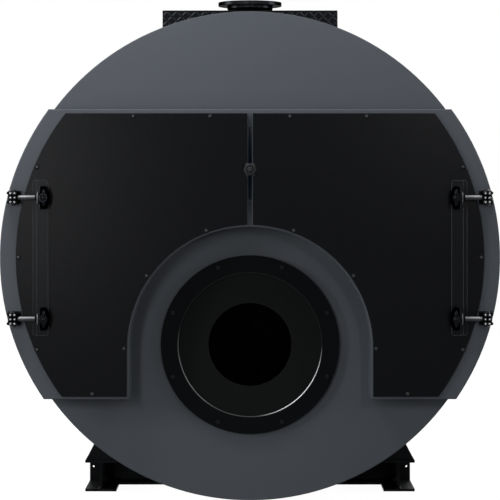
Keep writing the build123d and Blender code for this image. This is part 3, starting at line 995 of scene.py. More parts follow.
class MeshShop:
    """Gathers the faces of one piece and turns them into an object."""

    def __init__(self) -> None:
        """Start with no faces."""
        self.bm = bmesh.new()

    def skin(self, rings: Sequence[Sequence[Vector]], loop: bool = False) -> None:
        """Lay faces between neighbouring closed rings of points.

        Args:
            rings: The rings, each with as many points.
            loop: Join the last ring to the first, in place of a cap at either end.
        """
        rows = [[self.bm.verts.new(point) for point in ring] for ring in rings]
        count = len(rows[0])
        for i in range(len(rows) if loop else len(rows) - 1):
            here, there = rows[i], rows[(i + 1) % len(rows)]
            for j in range(count):
                k = (j + 1) % count
                self.bm.faces.new((here[j], here[k], there[k], there[j]))
        if not loop:
            self.bm.faces.new(list(reversed(rows[0])))
            self.bm.faces.new(rows[-1])

    def turn(
        self, profile: Sequence[Point], centre: Vector, axis: Vector, steps: int = 24, loop: bool = False
    ) -> None:
        """Turn a profile about an axis.

        Args:
            profile: Radius and height of its points.
            centre: Where height is 0.
            axis: Direction of height.
            steps: Points on each ring.
            loop: The profile is a closed ring section.
        """
        round_axis = spokes(axis, steps)
        rings = [[centre + axis * height + way * radius for way in round_axis] for radius, height in profile]
        self.skin(rings, loop=loop)

    def sweep(
        self, path: Sequence[Vector], section: Callable[[int], Sequence[Point]], side: Vector,
        closed: bool = False,
    ) -> None:
        """Carry a section along a path.

        Args:
            path: Points of the path.
            section: Gives the closed section at a point of the path, along side and along the third way.
            side: A direction that stays square to the path.
            closed: The path returns to its start.
        """
        rings = []
        last = len(path) - 1
        for i, point in enumerate(path):
            before = path[i - 1] if i or closed else point
            after = path[(i + 1) % len(path)] if i < last or closed else point
            third = (after - before).normalized().cross(side).normalized()
            rings.append([point + side * u + third * v for u, v in section(i)])
        self.skin(rings, loop=closed)

    def rope(
        self, path: Sequence[Vector], radius: float, side: Vector, sides: int = 8, closed: bool = True
    ) -> None:
        """Carry a round section along a path in one plane, whose normal is the side."""
        ring = circle(radius, sides)
        self.sweep(path, lambda _: ring, side, closed)

    def weld(
        self, path: Sequence[Vector], size: float, side: Vector, closed: bool = True, pitch: float = 0.009
    ) -> None:
        """Lay a rippled weld bead along a path in one plane.

        Args:
            path: Corners of the path.
            size: Radius of the bead.
            side: The plane's normal.
            closed: The path returns to its start.
            pitch: Length of one ripple.
        """
        swell = (1.0, 0.93, 0.84)
        ripple = [circle(size * share, 6) for share in swell]
        fine = spaced(path, pitch / len(swell), closed)
        self.sweep(fine, lambda i: ripple[i % len(swell)], side, closed)

    def screw(self, centre: Vector, axis: Vector, radius: float, height: float) -> None:
        """Make a button-head screw with a hexagon socket.

        Args:
            centre: Where its head meets the sheet.
            axis: Direction out of the sheet.
            radius: Radius of the head.
            height: Height of the head.
        """
        socket, rim = radius * 0.48, 0.25
        dome = [(radius, -height * 0.1), (radius, height * rim)]
        for a in (0.6, 1.1, pi / 2):
            dome.append((socket + (radius - socket) * cos(a), height * (rim + (1 - rim) * sin(a))))
        self.turn(dome, centre, axis, 18)
        self.hexagon(centre + axis * height * 1.005, axis, socket * 1.7, height * 0.02, socket=True)

    def hexagon(
        self, centre: Vector, axis: Vector, flats: float, height: float, socket: bool = False
    ) -> None:
        """Make a hexagon nut, bolt head or socket disc with chamfered corners.

        Args:
            centre: Middle of its foot.
            axis: Direction of its height.
            flats: Size across its flats.
            height: Its height.
            socket: Make the plain flat disc of a socket's floor.
        """
        steps = 24
        chamfered = [(0.95, 0.0), (2.0, 0.14), (2.0, 0.84), (0.93, 1.0)]
        corners = [flats / 2 / cos((tau * i / steps + pi / 6) % (pi / 3) - pi / 6) for i in range(steps)]
        rings = []
        for limit, level in [(2.0, 0.0), (2.0, 1.0)] if socket else chamfered:
            foot = centre + axis * height * level
            reach = [min(corner, limit * flats / 2) for corner in corners]
            rings.append([foot + way * far for way, far in zip(spokes(axis, steps), reach)])
        self.skin(rings)

    def bar(self, low: Vector, high: Vector, bevel: float) -> None:
        """Make a flat bar with broken edges.

        Args:
            low: Its lowest corner.
            high: Its highest corner.
            bevel: Width of the broken edges.
        """
        made = bmesh.ops.create_cube(self.bm, size=1.0)["verts"]
        middle, size = (low + high) / 2, high - low
        for vert in made:
            vert.co = middle + Vector([vert.co[k] * size[k] for k in range(3)])
        edges = {edge for vert in made for edge in vert.link_edges}
        bmesh.ops.bevel(self.bm, geom=list(edges), offset=bevel, segments=2, affect="EDGES", profile=0.5)

    def lug(self, centre: Vector, along: Vector, up: Vector, size: Triple) -> None:
        """Make one raised lug of a tread plate.

        Args:
            centre: Its middle, on the plate.
            along: Its long direction.
            up: Direction out of the plate.
            size: Its length, its width and how far it stands proud.
        """
        length, width, height = size
        across, sunk = up.cross(along), -up * height * 0.2
        base = [(0.5, 0), (0.25, 0.5), (-0.25, 0.5), (-0.5, 0), (-0.25, -0.5), (0.25, -0.5)]
        foot = [self.bm.verts.new(centre + along * length * u + across * width * v + sunk) for u, v in base]
        ridge = [self.bm.verts.new(centre + along * length * u + up * height) for u in (0.3, -0.3)]
        verts = [*foot, *ridge]
        for face in [(0, 1, 6), (1, 2, 7, 6), (2, 3, 7), (3, 4, 7), (4, 5, 6, 7), (5, 0, 6)]:
            self.bm.faces.new([verts[i] for i in face])
        self.bm.faces.new(list(reversed(foot)))

    def finish(self, name: str, sharp: float = 35.0) -> bpy.types.Object:
        """Turn the gathered faces into an object.

        Args:
            name: Its name.
            sharp: Edges that turn by more than this angle, in degrees, stay sharp.

        Returns:
            The object.
        """
        bmesh.ops.recalc_face_normals(self.bm, faces=self.bm.faces)
        mesh = bpy.data.meshes.new(name)
        self.bm.to_mesh(mesh)
        self.bm.free()
        mesh.polygons.foreach_set("use_smooth", [True] * len(mesh.polygons))
        mesh.set_sharp_from_angle(angle=radians(sharp))
        made = bpy.data.objects.new(name, mesh)
        bpy.context.scene.collection.objects.link(made)
        return made


class Assembly:
    """A sub-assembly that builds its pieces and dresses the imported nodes."""

    def build(self) -> None:
        """Make the pieces of this sub-assembly."""
        raise NotImplementedError

    def dress(self) -> None:
        """Give this sub-assembly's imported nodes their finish."""
        raise NotImplementedError

    @staticmethod
    def place(
        shop: MeshShop, name: str, finish: Finish, slot: Slot, body: Body = Body.BOILER, sharp: float = 35.0
    ) -> None:
        """Finish a piece, fix it to its body and report it.

        Args:
            shop: The piece's faces.
            name: Its name.
            finish: Its finish.
            slot: The record's slot that it belongs to; not used.
            body: The body that it rides on.
            sharp: Angle in degrees from which its edges stay sharp.
        """
        piece = shop.finish(name, sharp)
        piece.data.materials.append(finish.material())
        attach(piece, body.value)
        log.info("%s: %d faces on %s", name, len(piece.data.polygons), body.value)

    @staticmethod
    def coat(finish: Finish, *nodes: str) -> None:
        """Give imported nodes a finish.

        Args:
            finish: The finish.
            *nodes: Names of the nodes.
        """
        for name in nodes:
            mesh = frame["nodes"][name].data
            mesh.materials.clear()
            mesh.materials.append(finish.material())
            log.info("%s: %s", name, finish.name)


# Sub-assemblies


@dataclass
class Jacket(Assembly):
    """Sheet jacket with its joint bands, and the walls at both ends."""

    band_half: float = 0.035
    band_thickness: float = 0.0015
    band_edge: float = 0.004
    band_places: tuple[float, ...] = (0.03, 0.27, 0.505, 0.74, 0.97)
    band_gap: float = 0.004
    rivet_radius: float = 0.006
    rivet_height: float = 0.0025
    rivet_pitch: float = 0.15
    rivet_rows: Point = (-0.6, 0.6)
    step: float = 0.04
    bead: float = 0.003
    bead_rise: float = 0.0005
    bead_step: float = 0.05
    bead_pitch: float = 0.012

    def build(self) -> None:
        """Make the joint bands with their rivets, and the seam welds of the end walls."""
        at = LAYOUT
        bands, rivets, seams = MeshShop(), MeshShop(), MeshShop()
        half, rise = self.band_half, self.band_thickness
        section = [(-half, 0), (self.band_edge - half, rise), (half - self.band_edge, rise), (half, 0)]
        start = acos((at.deck_x + self.band_gap) / at.radius)
        ring = arc_points((0, at.axis), at.radius, start, pi - start - tau, self.step)
        count = int(len(ring) * self.step / self.rivet_pitch)
        radius, height = self.rivet_radius, self.rivet_height
        head = [(radius, -0.0005), (radius, 0.0008), (radius * 0.7, height * 0.85), (0.001, height)]
        for share in self.band_places:
            y = at.plate + (at.rear_plate - at.plate) * share
            bands.sweep(upright(ring, y), lambda _: section, AXIS_Y)
            for row in self.rivet_rows:
                for i in range(count):
                    x, z = ring[int((i + 0.5) * len(ring) / count)]
                    out = Vector((x, 0, z - at.axis)).normalized()
                    rivets.turn(head, Vector((x, y + row * half, z)) + out * rise, out, steps=10)
        self.place(bands, "jacket_joint_bands", JACKET_GREY, Slot.JACKET)
        self.place(rivets, "jacket_rivets", JACKET_GREY, Slot.JACKET)
        for y in (at.plate, at.rear_plate):
            ring = hoop((0, at.axis), at.radius + self.bead_rise, y, self.bead_step)
            seams.weld(ring, self.bead, AXIS_Y, pitch=self.bead_pitch)
        self.place(seams, "end_wall_seams", JACKET_GREY, Slot.GREY)

    def dress(self) -> None:
        """Finish the jacket, the end walls and the shell."""
        self.coat(JACKET_GREY, "jacket")
        self.coat(BODY_GREY, "front_wall", "rear_wall")
        self.coat(DARK_STEEL, "pressure_shell")


@dataclass
class TubeBank(Assembly):
    """Tube plates, smoke tubes and flame tube with their welds."""

    pitch: float = 0.156
    tube_radius: float = 0.04125
    margin: float = 0.014
    seat: float = 0.055
    bead: float = 0.0032
    bead_rise: float = 0.001
    bead_step: float = 0.013
    flame_bead: float = 0.006
    flame_step: float = 0.04

    def places(self) -> list[Point]:
        """X and Z of every smoke tube.

        Returns:
            The places, left and right by turns.
        """
        at = LAYOUT
        reach = self.tube_radius + self.margin + self.seat
        edge, arch, first = at.panel_radius - reach, at.panel_arch + reach, at.panel_bottom + reach
        found = []
        for column in range(int(at.panel_radius / self.pitch)):
            x = (column + 0.5) * self.pitch
            for row in range(int((at.panel_top - reach - first) / self.pitch) + 1):
                z = first + row * self.pitch
                clear = hypot(x, z - at.axis) <= edge and hypot(x, z - at.burner_axis) >= arch
                if clear and (z >= at.burner_axis or x >= arch):
                    found += [(-x, z), (x, z)]
        return found

    def build(self) -> None:
        """Make the beads that seal the tubes in the front plate."""
        tubes, flame = MeshShop(), MeshShop()
        for place in self.places():
            ring = hoop(place, self.tube_radius + self.bead_rise, LAYOUT.plate, self.bead_step)
            tubes.rope(ring, self.bead, AXIS_Y, sides=5)
        self.place(tubes, "tube_end_welds", INNER_STEEL, Slot.FIRED)
        low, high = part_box("flame_tube")
        radius = (high.x - low.x) / 2
        ring = hoop((0, LAYOUT.burner_axis), radius, LAYOUT.plate, self.flame_step)
        flame.weld(ring, self.flame_bead, AXIS_Y)
        self.place(flame, "flame_tube_weld", INNER_STEEL, Slot.FIRED)

    def dress(self) -> None:
        """Finish the plates and tubes."""
        self.coat(INNER_STEEL, "tube_plate", "rear_tube_plate", "smoke_tubes", "flame_tube")


@dataclass
class DoorHousing(Assembly):
    """Housing in front of the body, its frame, post and clamp."""

    bead: float = 0.003
    bead_out: float = 0.3
    bead_pitch: float = 0.010
    slot_levels: Point = (1.699, 2.079)
    slot_half: float = 0.0105
    slot_strip: float = 0.0065
    face_half: float = 0.0095
    face_gap: float = 0.002
    arch_gap: float = 0.006
    strip_height: float = 0.0012
    strip_bevel: float = 0.0004
    knob_radius: float = 0.0324
    knob_bore: float = 0.0168
    knob_height: float = 0.0145
    knob_sunk: float = 0.001
    step: float = 0.03

    def outline(self, outset: float) -> list[Point]:
        """Closed outline of the housing's outside.

        Args:
            outset: How far the line lies outside the outside faces.

        Returns:
            X and Z of its points.
        """
        at = LAYOUT
        top, bottom = at.housing_top + outset, at.housing_bottom - outset
        arch = at.arch - outset
        right = flank(at.radius + outset, top, bottom, self.step)
        under = arc_points((0, at.burner_axis), arch, 0, pi, self.step)
        left = [(-x, z) for x, z in reversed(right)]
        return [*right, (arch, bottom), *under, (-arch, bottom), *left]

    def add_strip(self, shop: MeshShop, across: Point, levels: Point) -> None:
        """Lay a thin strip on the post's face.

        Args:
            shop: Where the faces go.
            across: Both its edges.
            levels: Its foot and its top.
        """
        (left, right), (bottom, top), face = sorted(across), levels, LAYOUT.frame_face
        low = Vector((left, face - self.strip_height, bottom))
        shop.bar(low, Vector((right, face + self.strip_height, top)), self.strip_bevel)

    def build(self) -> None:
        """Make the weld between housing and front wall, the post's strips and the clamp's domed ring."""
        at = LAYOUT
        weld, strips, plates, knob = MeshShop(), MeshShop(), MeshShop(), MeshShop()
        out = self.bead * self.bead_out
        weld.weld(upright(self.outline(out), at.front - out), self.bead, AXIS_Y, pitch=self.bead_pitch)
        self.place(weld, "housing_weld", BODY_GREY, Slot.GREY)
        for side in Side:
            edges = [side.value * x for x in (self.slot_half, self.slot_half - self.slot_strip)]
            self.add_strip(strips, edges, self.slot_levels)
        # the slot's strips carry painted shade, darkest at the clamp's level
        self.place(strips, "post_slot_strips", POST_PAINTED_SHADE, Slot.GREY)
        foot, (low, high) = at.burner_axis + at.arch + self.arch_gap, self.slot_levels
        for levels in ((foot, low - self.face_gap), (high + self.face_gap, at.panel_top)):
            self.add_strip(plates, (-self.face_half, self.face_half), levels)
        # the face plates carry the same painted shade
        self.place(plates, "post_face_plates", POST_PAINTED_SHADE, Slot.GREY)
        radius, bore, height = self.knob_radius, self.knob_bore, self.knob_height
        outside = [(1.0, 0.0), (1.0, 0.3), (0.98, 0.5), (0.92, 0.72), (0.83, 0.89), (0.72, 1.0), (0.62, 0.98)]
        profile = [(radius * share, height * level) for share, level in outside]
        profile += [(bore + 0.001, height * 0.86), (bore, height * 0.7), (bore, 0.0)]
        middle = Vector((0, at.panel_face - self.knob_sunk, at.clamp_level))
        knob.turn(profile, middle, -AXIS_Y, steps=48, loop=True)
        self.place(knob, "clamp_domed_ring", KNOB_GREY, Slot.STEEL)

    def dress(self) -> None:
        """Finish the housing, frame, post and clamp."""
        self.coat(BODY_GREY, "door_housing", "door_frame")
        # the post carries painted shade, darkest at the clamp's level
        self.coat(POST_PAINTED_SHADE, "centre_post")
        self.coat(KNOB_GREY, "centre_clamp")


@dataclass
class Door(Assembly):
    """One hinged door with its screws, gasket rope and lining anchors."""

    side: Side
    screw_radius: float = 0.009
    screw_height: float = 0.005
    washer_radius: float = 0.014
    washer_height: float = 0.0012
    screw_places: tuple[Point, ...] = (
        (0.605, 2.134), (0.208, 2.134), (1.105, 1.871), (1.201, 1.402), (1.105, 0.923),
        (0.818, 0.694), (0.654, 0.928), (0.537, 1.306), (0.227, 1.540),
    )
    rope_inset: float = 0.016
    rope_radius: float = 0.0032
    rope_rise: float = 0.92
    rope_step: float = 0.03
    anchor_pitch: float = 0.30
    anchor_inset: float = 0.17
    anchor_radius: float = 0.017
    anchor_grid: tuple[int, int] = (4, 5)
    anchor_nut: Point = (0.012, 0.006)

    def build(self) -> None:
        """Make the panel's screws, the gasket rope and the lining's anchors."""
        at, word, body = LAYOUT, self.side.word, self.side.door
        screws, washers, rope, anchors = MeshShop(), MeshShop(), MeshShop(), MeshShop()
        rise, wide = self.washer_height, self.washer_radius
        for x, z in self.screw_places:
            foot = Vector((self.side.value * x, at.panel_face, z))
            washers.turn([(wide, -0.0003), (wide, rise * 0.6), (wide * 0.95, rise)], foot, -AXIS_Y, steps=28)
            screws.screw(foot - AXIS_Y * rise, -AXIS_Y, self.screw_radius, self.screw_height)
        self.place(screws, f"{word}_panel_screws", SCREW_STEEL, Slot.DOOR, body)
        self.place(washers, f"{word}_screw_washers", BASE_BLACK, Slot.DOOR, body)
        line = door_outline(self.side, self.rope_inset, self.rope_step)
        path = upright(line, at.panel_back + self.rope_radius * self.rope_rise)
        rope.rope(spaced(path, self.rope_step, True), self.rope_radius, AXIS_Y)
        self.place(rope, f"{word}_gasket_rope", GASKET, Slot.LINING, body)
        radius = self.anchor_radius
        disc = [(radius, -0.001), (radius, 0.0015), (radius * 0.8, 0.003), (0.007, 0.002)]
        for foot in upright(self.anchor_places(), at.lining_back):
            anchors.turn(disc, foot, AXIS_Y, steps=20)
            anchors.hexagon(foot + AXIS_Y * 0.0015, AXIS_Y, *self.anchor_nut)
        self.place(anchors, f"{word}_lining_anchors", BRIGHT_STEEL, Slot.STEEL, body)

    def anchor_places(self) -> list[Point]:
        """X and Z of the anchors, on a grid inside the lining.

        Returns:
            The places, column by column from the middle.
        """
        at, inset = LAYOUT, self.anchor_inset
        columns, rows = self.anchor_grid
        found = []
        for x in [at.panel_edge + inset + column * self.anchor_pitch for column in range(columns)]:
            for z in [at.panel_bottom + inset + row * self.anchor_pitch for row in range(rows)]:
                clear = hypot(x, z - at.burner_axis) > at.arch + inset
                beside = z > at.burner_axis or x > at.arch + inset
                inside = hypot(x, z - at.axis) < at.panel_radius - inset and z < at.panel_top - inset
                if clear and beside and inside:
                    found.append((self.side.value * x, z))
        return found

    def dress(self) -> None:
        """Finish the panel and its lining."""
        self.coat(DOOR_BLACK, f"{self.side.word}_door_panel")
        self.coat(DOOR_FIBRE, f"{self.side.word}_door_lining")


@dataclass
class Hinges(Assembly):
    """One door's hinge plate, rods and brackets with their fine pieces."""

    side: Side
    lug_reach: float = 0.138
    lug_half: float = 0.006
    nut_height: float = 0.019
    thread_radius: float = 0.0126
    thread_core: float = 0.0118
    thread_pitch: float = 0.003
    thread_length: float = 0.042
    thread_tip: float = 0.022
    washer_radius: float = 0.021
    washer_height: float = 0.003
    boss_radius: float = 0.0605
    boss_half: float = 0.028
    boss_shift: float = 0.022
    boss_arcs: int = 18
    seat_radius: float = 0.023
    seat_height: float = 0.003
    set_nut: Point = (0.034, 0.009)
    collar_radius: float = 0.034
    collar_bore: float = 0.014
    collar_place: float = 0.0055
    collar_half: float = 0.008
    bolt_radius: float = 0.006
    bolt_rise: float = 0.001
    bolt_offset: float = 0.0104
    ear_bolt_level: float = 0.0225
    bead_radius: float = 0.0017
    corner: float = 0.012
    strip_ledge: float = 0.020
    plate_drop: float = 0.006

    def lugs(self, outwards: float = 0.0) -> list[Vector]:
        """Middles of both lugs on their rods, moved outwards."""
        x = self.side.value * (LAYOUT.pin_x - self.lug_reach + outwards)
        return [Vector((x, LAYOUT.pin_y, level)) for level in LAYOUT.pin_levels]

    def hand_over(self, shop: MeshShop, name: str, finish: Finish, slot: Slot = Slot.STEEL) -> None:
        """Place a piece that rides on the door."""
        self.place(shop, f"{self.side.word}_{name}", finish, slot, self.side.door)

    def build_bosses(self) -> None:
        """Make the rounded bosses round the lugs, each with a set nut in front."""
        shop = MeshShop()
        angles = [pi * (i + 0.35) / (self.boss_arcs - 0.3) for i in range(self.boss_arcs)]
        profile = [(self.boss_radius * sin(a), -self.boss_half * cos(a)) for a in angles]
        wide, rise = self.seat_radius, self.seat_height
        for lug in self.lugs(-self.boss_shift):
            shop.turn(profile, lug, self.side.out, steps=40)
            front = lug - AXIS_Y * (self.boss_radius - 0.002)
            shop.turn([(wide, -0.004), (wide, rise / 2), (wide - rise / 2, rise)], front, -AXIS_Y, steps=28)
            shop.hexagon(front - AXIS_Y * rise, -AXIS_Y, *self.set_nut)
        self.hand_over(shop, "hinge_bosses", HINGE_BLACK, Slot.DOOR)

    def build_collars(self) -> None:
        """Make the round-edged steel collars on the rods, beside the bosses."""
        shop, half = MeshShop(), self.collar_half
        rim = self.collar_radius - half
        angles = [pi * (i / 10 - 0.5) for i in range(11)]
        profile = [(self.collar_bore, -half), *around((rim, 0.0), half, angles)]
        for middle in self.lugs(self.collar_place):
            shop.turn([*profile, (self.collar_bore, half)], middle, self.side.out, steps=40)
        self.hand_over(shop, "rod_collars", COLLAR_STEEL)

    def build_bolts(self) -> None:
        """Make the bright domed bolt heads on the brackets' ears and on the rods' eyes, whose bright steel is a
        painted highlight for the glossy pins' glints.
        """
        at, radius, rise = LAYOUT, self.bolt_radius, self.bolt_rise
        ears, eyes = MeshShop(), MeshShop()
        dome = [(radius, -0.003), (radius, rise)]
        dome += [(radius * cos(a), rise + radius * 0.6 * sin(a)) for a in (0.4, 0.8, 1.15, 1.4)]
        levels = (-self.ear_bolt_level, self.ear_bolt_level)
        for shop, reach, steps in ((ears, at.ear_radius, levels), (eyes, at.eye_radius, (0.0,))):
            turn = asin(self.bolt_offset / reach)
            for pin in self.lugs(self.lug_reach):
                for step in steps:
                    for axis in (Vector((way * sin(turn), -cos(turn), 0)) for way in (-1, 1)):
                        shop.turn(dome, pin + AXIS_Z * step + axis * reach, axis, steps=20)
        # bright steel heads as painted highlights
        self.place(ears, f"{self.side.word}_bracket_bolts", BOLT_PAINTED_HIGHLIGHT, Slot.STEEL)
        self.hand_over(eyes, "eye_bolts", BOLT_PAINTED_HIGHLIGHT)

    def build_beads(self) -> None:
        """Make the rounded edges of the hinge plate and of the strip under it, painted lighter as edge highlights.
        """
        shop, turn, face = MeshShop(), self.corner, LAYOUT.strip_face
        low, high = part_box(f"{self.side.word}_hinge_plate")
        inner, outer = sorted((abs(low.x), abs(high.x)))
        bottom, top, left = low.z + turn, high.z - turn, inner + turn
        for edge, y in ((outer - self.strip_ledge, face), (outer, face + self.plate_drop)):
            right = edge - turn
            line = []
            for quarter, corner in enumerate([(right, top), (left, top), (left, bottom), (right, bottom)]):
                start = quarter * pi / 2
                line += arc_points(corner, turn - self.bead_radius * 0.6, start, start + pi / 2, 0.004)
            shop.rope(upright([(self.side.value * x, z) for x, z in line], y), self.bead_radius, AXIS_Y)
        # the beads' lighter paint is a painted highlight
        self.hand_over(shop, "hinge_plate_edges", EDGE_PAINTED_HIGHLIGHT, Slot.DOOR)

    def build_threads(self) -> None:
        """Make the threads and the washers of both rods."""
        threads, washers = MeshShop(), MeshShop()
        core, pitch, wide, rise = self.thread_core, self.thread_pitch, self.washer_radius, self.washer_height
        disc = [(wide, 0), (wide, rise * 0.8), (wide * 0.96, rise)]
        for lug in self.lugs():
            for way, length in ((self.side.out, self.thread_length), (-self.side.out, self.thread_tip)):
                turns = int(length / pitch)
                profile = [(core, -0.002)]
                for i in range(turns):
                    profile += [(core, i * pitch), (self.thread_radius, i * pitch + pitch * 0.5)]
                profile.append((core, turns * pitch))
                threads.turn(profile, lug + way * (self.lug_half + self.nut_height), way, steps=20)
                washers.turn(disc, lug + way * (self.lug_half - 0.0002), way, steps=32)
        self.hand_over(threads, "rod_threads", ROD_STEEL)
        self.hand_over(washers, "rod_washers", HINGE_BLACK)

    def build(self) -> None:
        """Make bosses, collars, bolt heads, edges, threads and washers."""
        self.build_bosses()
        self.build_collars()
        self.build_bolts()
        self.build_beads()
        self.build_threads()

    def dress(self) -> None:
        """Finish the hinge plate, rods and brackets."""
        self.coat(HINGE_PLATE, f"{self.side.word}_hinge_plate")
        self.coat(HINGE_BLACK, f"{self.side.word}_hinge_brackets")
        self.coat(ROD_STEEL, f"{self.side.word}_hinge_rods")


@dataclass
class BurnerPort(Assembly):
    """Burner ring, plate and throat with the rounded lip of the ring's bore, which carries a painted highlight."""

    lip_radius: float = 0.0032
    lip_sunk: float = 0.0010

    def build(self) -> None:
        """Make the rounded lip round the ring's bore."""
        shop = MeshShop()
        profile = circle(self.lip_radius, 14, (LAYOUT.ring_bore + self.lip_sunk, self.lip_sunk))
        middle = Vector((0, LAYOUT.ring_face, LAYOUT.burner_axis))
        shop.turn(profile, middle, AXIS_Y, steps=160, loop=True)
        # the lip's bright steel is a painted highlight
        self.place(shop, "burner_ring_lip", LIP_PAINTED_HIGHLIGHT, Slot.BURNER)

    def dress(self) -> None:
        """Finish the ring, plate, throat and bolts."""
        self.coat(RING_BLACK, "burner_ring")
        self.coat(PLATE_BLACK, "burner_plate")
        self.coat(CASTABLE, "burner_throat")
        self.coat(BOLT_BLACK, "burner_bolts")


@dataclass
class Walkway(Assembly):
    """Tread plate deck and aprons."""

    pitch: float = 0.027
    lug_size: Triple = (0.038, 0.0085, 0.0010)
    margin: float = 0.014
    hole_margin: float = 0.040
    drop: float = 0.17
    sharp: float = 8.0

    def spread(
        self, shop: MeshShop, origin: Vector, ways: Sequence[Vector], size: Point,
        keep: Callable[[Vector], bool],
    ) -> None:
        """Lay lugs over one face, turned one way and the other by turns.

        Args:
            shop: Where the faces go.
            origin: One corner of the face.
            ways: Directions of its two sides.
            size: Length of both sides.
            keep: Tells whether a lug may stand at a point.
        """
        first, second = ways
        columns, rows = (int((length - 2 * self.margin) / self.pitch) + 1 for length in size)
        for i in range(columns):
            for j in range(rows):
                u, v = self.margin + i * self.pitch, self.margin + j * self.pitch
                centre = origin + first * u + second * v
                if keep(centre):
                    along = (first + second * (1 if (i + j) % 2 else -1)).normalized()
                    shop.lug(centre, along, first.cross(second), self.lug_size)

    def on_deck(self, point: Vector) -> bool:
        """Whether a point is clear of the nozzle's hole."""
        return hypot(point.x, point.y - LAYOUT.nozzle_y) > LAYOUT.nozzle_radius + self.hole_margin

    def on_apron(self, point: Vector) -> bool:
        """Whether a point lies above the jacket."""
        return point.z > LAYOUT.axis + sqrt(LAYOUT.radius**2 - point.x**2) + self.margin

    def build(self) -> None:
        """Make the raised lugs of the deck and of the four aprons."""
        x, front, back, top = LAYOUT.deck_x, LAYOUT.deck_front, LAYOUT.deck_back, LAYOUT.deck_top
        span, run = 2 * x, back - front
        deck, aprons = MeshShop(), MeshShop()
        self.spread(deck, Vector((-x, front, top)), (AXIS_X, AXIS_Y), (span, run), self.on_deck)
        for corner_x, y, way, length in (
            (-x, front, AXIS_X, span), (x, back, -AXIS_X, span),
            (-x, back, -AXIS_Y, run), (x, front, AXIS_Y, run),
        ):
            origin = Vector((corner_x, y, top - self.drop))
            self.spread(aprons, origin, (way, AXIS_Z), (length, self.drop), self.on_apron)
        self.place(deck, "deck_tread_lugs", TREAD_RAISED, Slot.TREAD, sharp=self.sharp)
        self.place(aprons, "apron_tread_lugs", TREAD_RAISED, Slot.TREAD, sharp=self.sharp)

    def dress(self) -> None:
        """Finish the deck and the aprons."""
        aprons = [f"walkway_apron_{word}" for word in ("front", "rear", "left", "right")]
        self.coat(TREAD_BLACK, "walkway_deck", *aprons)


@dataclass
class FlowNozzle(Assembly):
    """Flanged nozzle on top with its weld and the jacket's rosette."""

    pipe_radius: float = 0.1365
    hub_foot: float = 0.068
    bead: float = 0.004
    rosette_radius: float = 0.200
    rosette_rise: float = 0.014
    rosette_gap: float = 0.0005
    rosette_sheet: float = 0.002

    def build(self) -> None:
        """Make the neck's weld and the rosette round the pipe."""
        at = LAYOUT
        weld, rosette = MeshShop(), MeshShop()
        foot = at.nozzle_top - self.hub_foot
        ring = [Vector((x, y, foot)) for x, y in circle(self.pipe_radius, 60, (0, at.nozzle_y))]
        weld.weld(ring, self.bead, AXIS_Z)
        self.place(weld, "nozzle_neck_weld", NOZZLE_BLACK, Slot.STEEL)
        inner, outer, rise = self.pipe_radius + self.rosette_gap, self.rosette_radius, self.rosette_rise
        profile = [(inner, rise), (outer, -0.004), (outer, -0.006), (inner, rise - self.rosette_sheet)]
        rosette.turn(profile, Vector((0, at.nozzle_y, at.axis + at.radius)), AXIS_Z, steps=64, loop=True)
        self.place(rosette, "nozzle_rosette", JACKET_GREY, Slot.JACKET)

    def dress(self) -> None:
        """Finish the nozzle."""
        self.coat(NOZZLE_BLACK, "flow_nozzle")


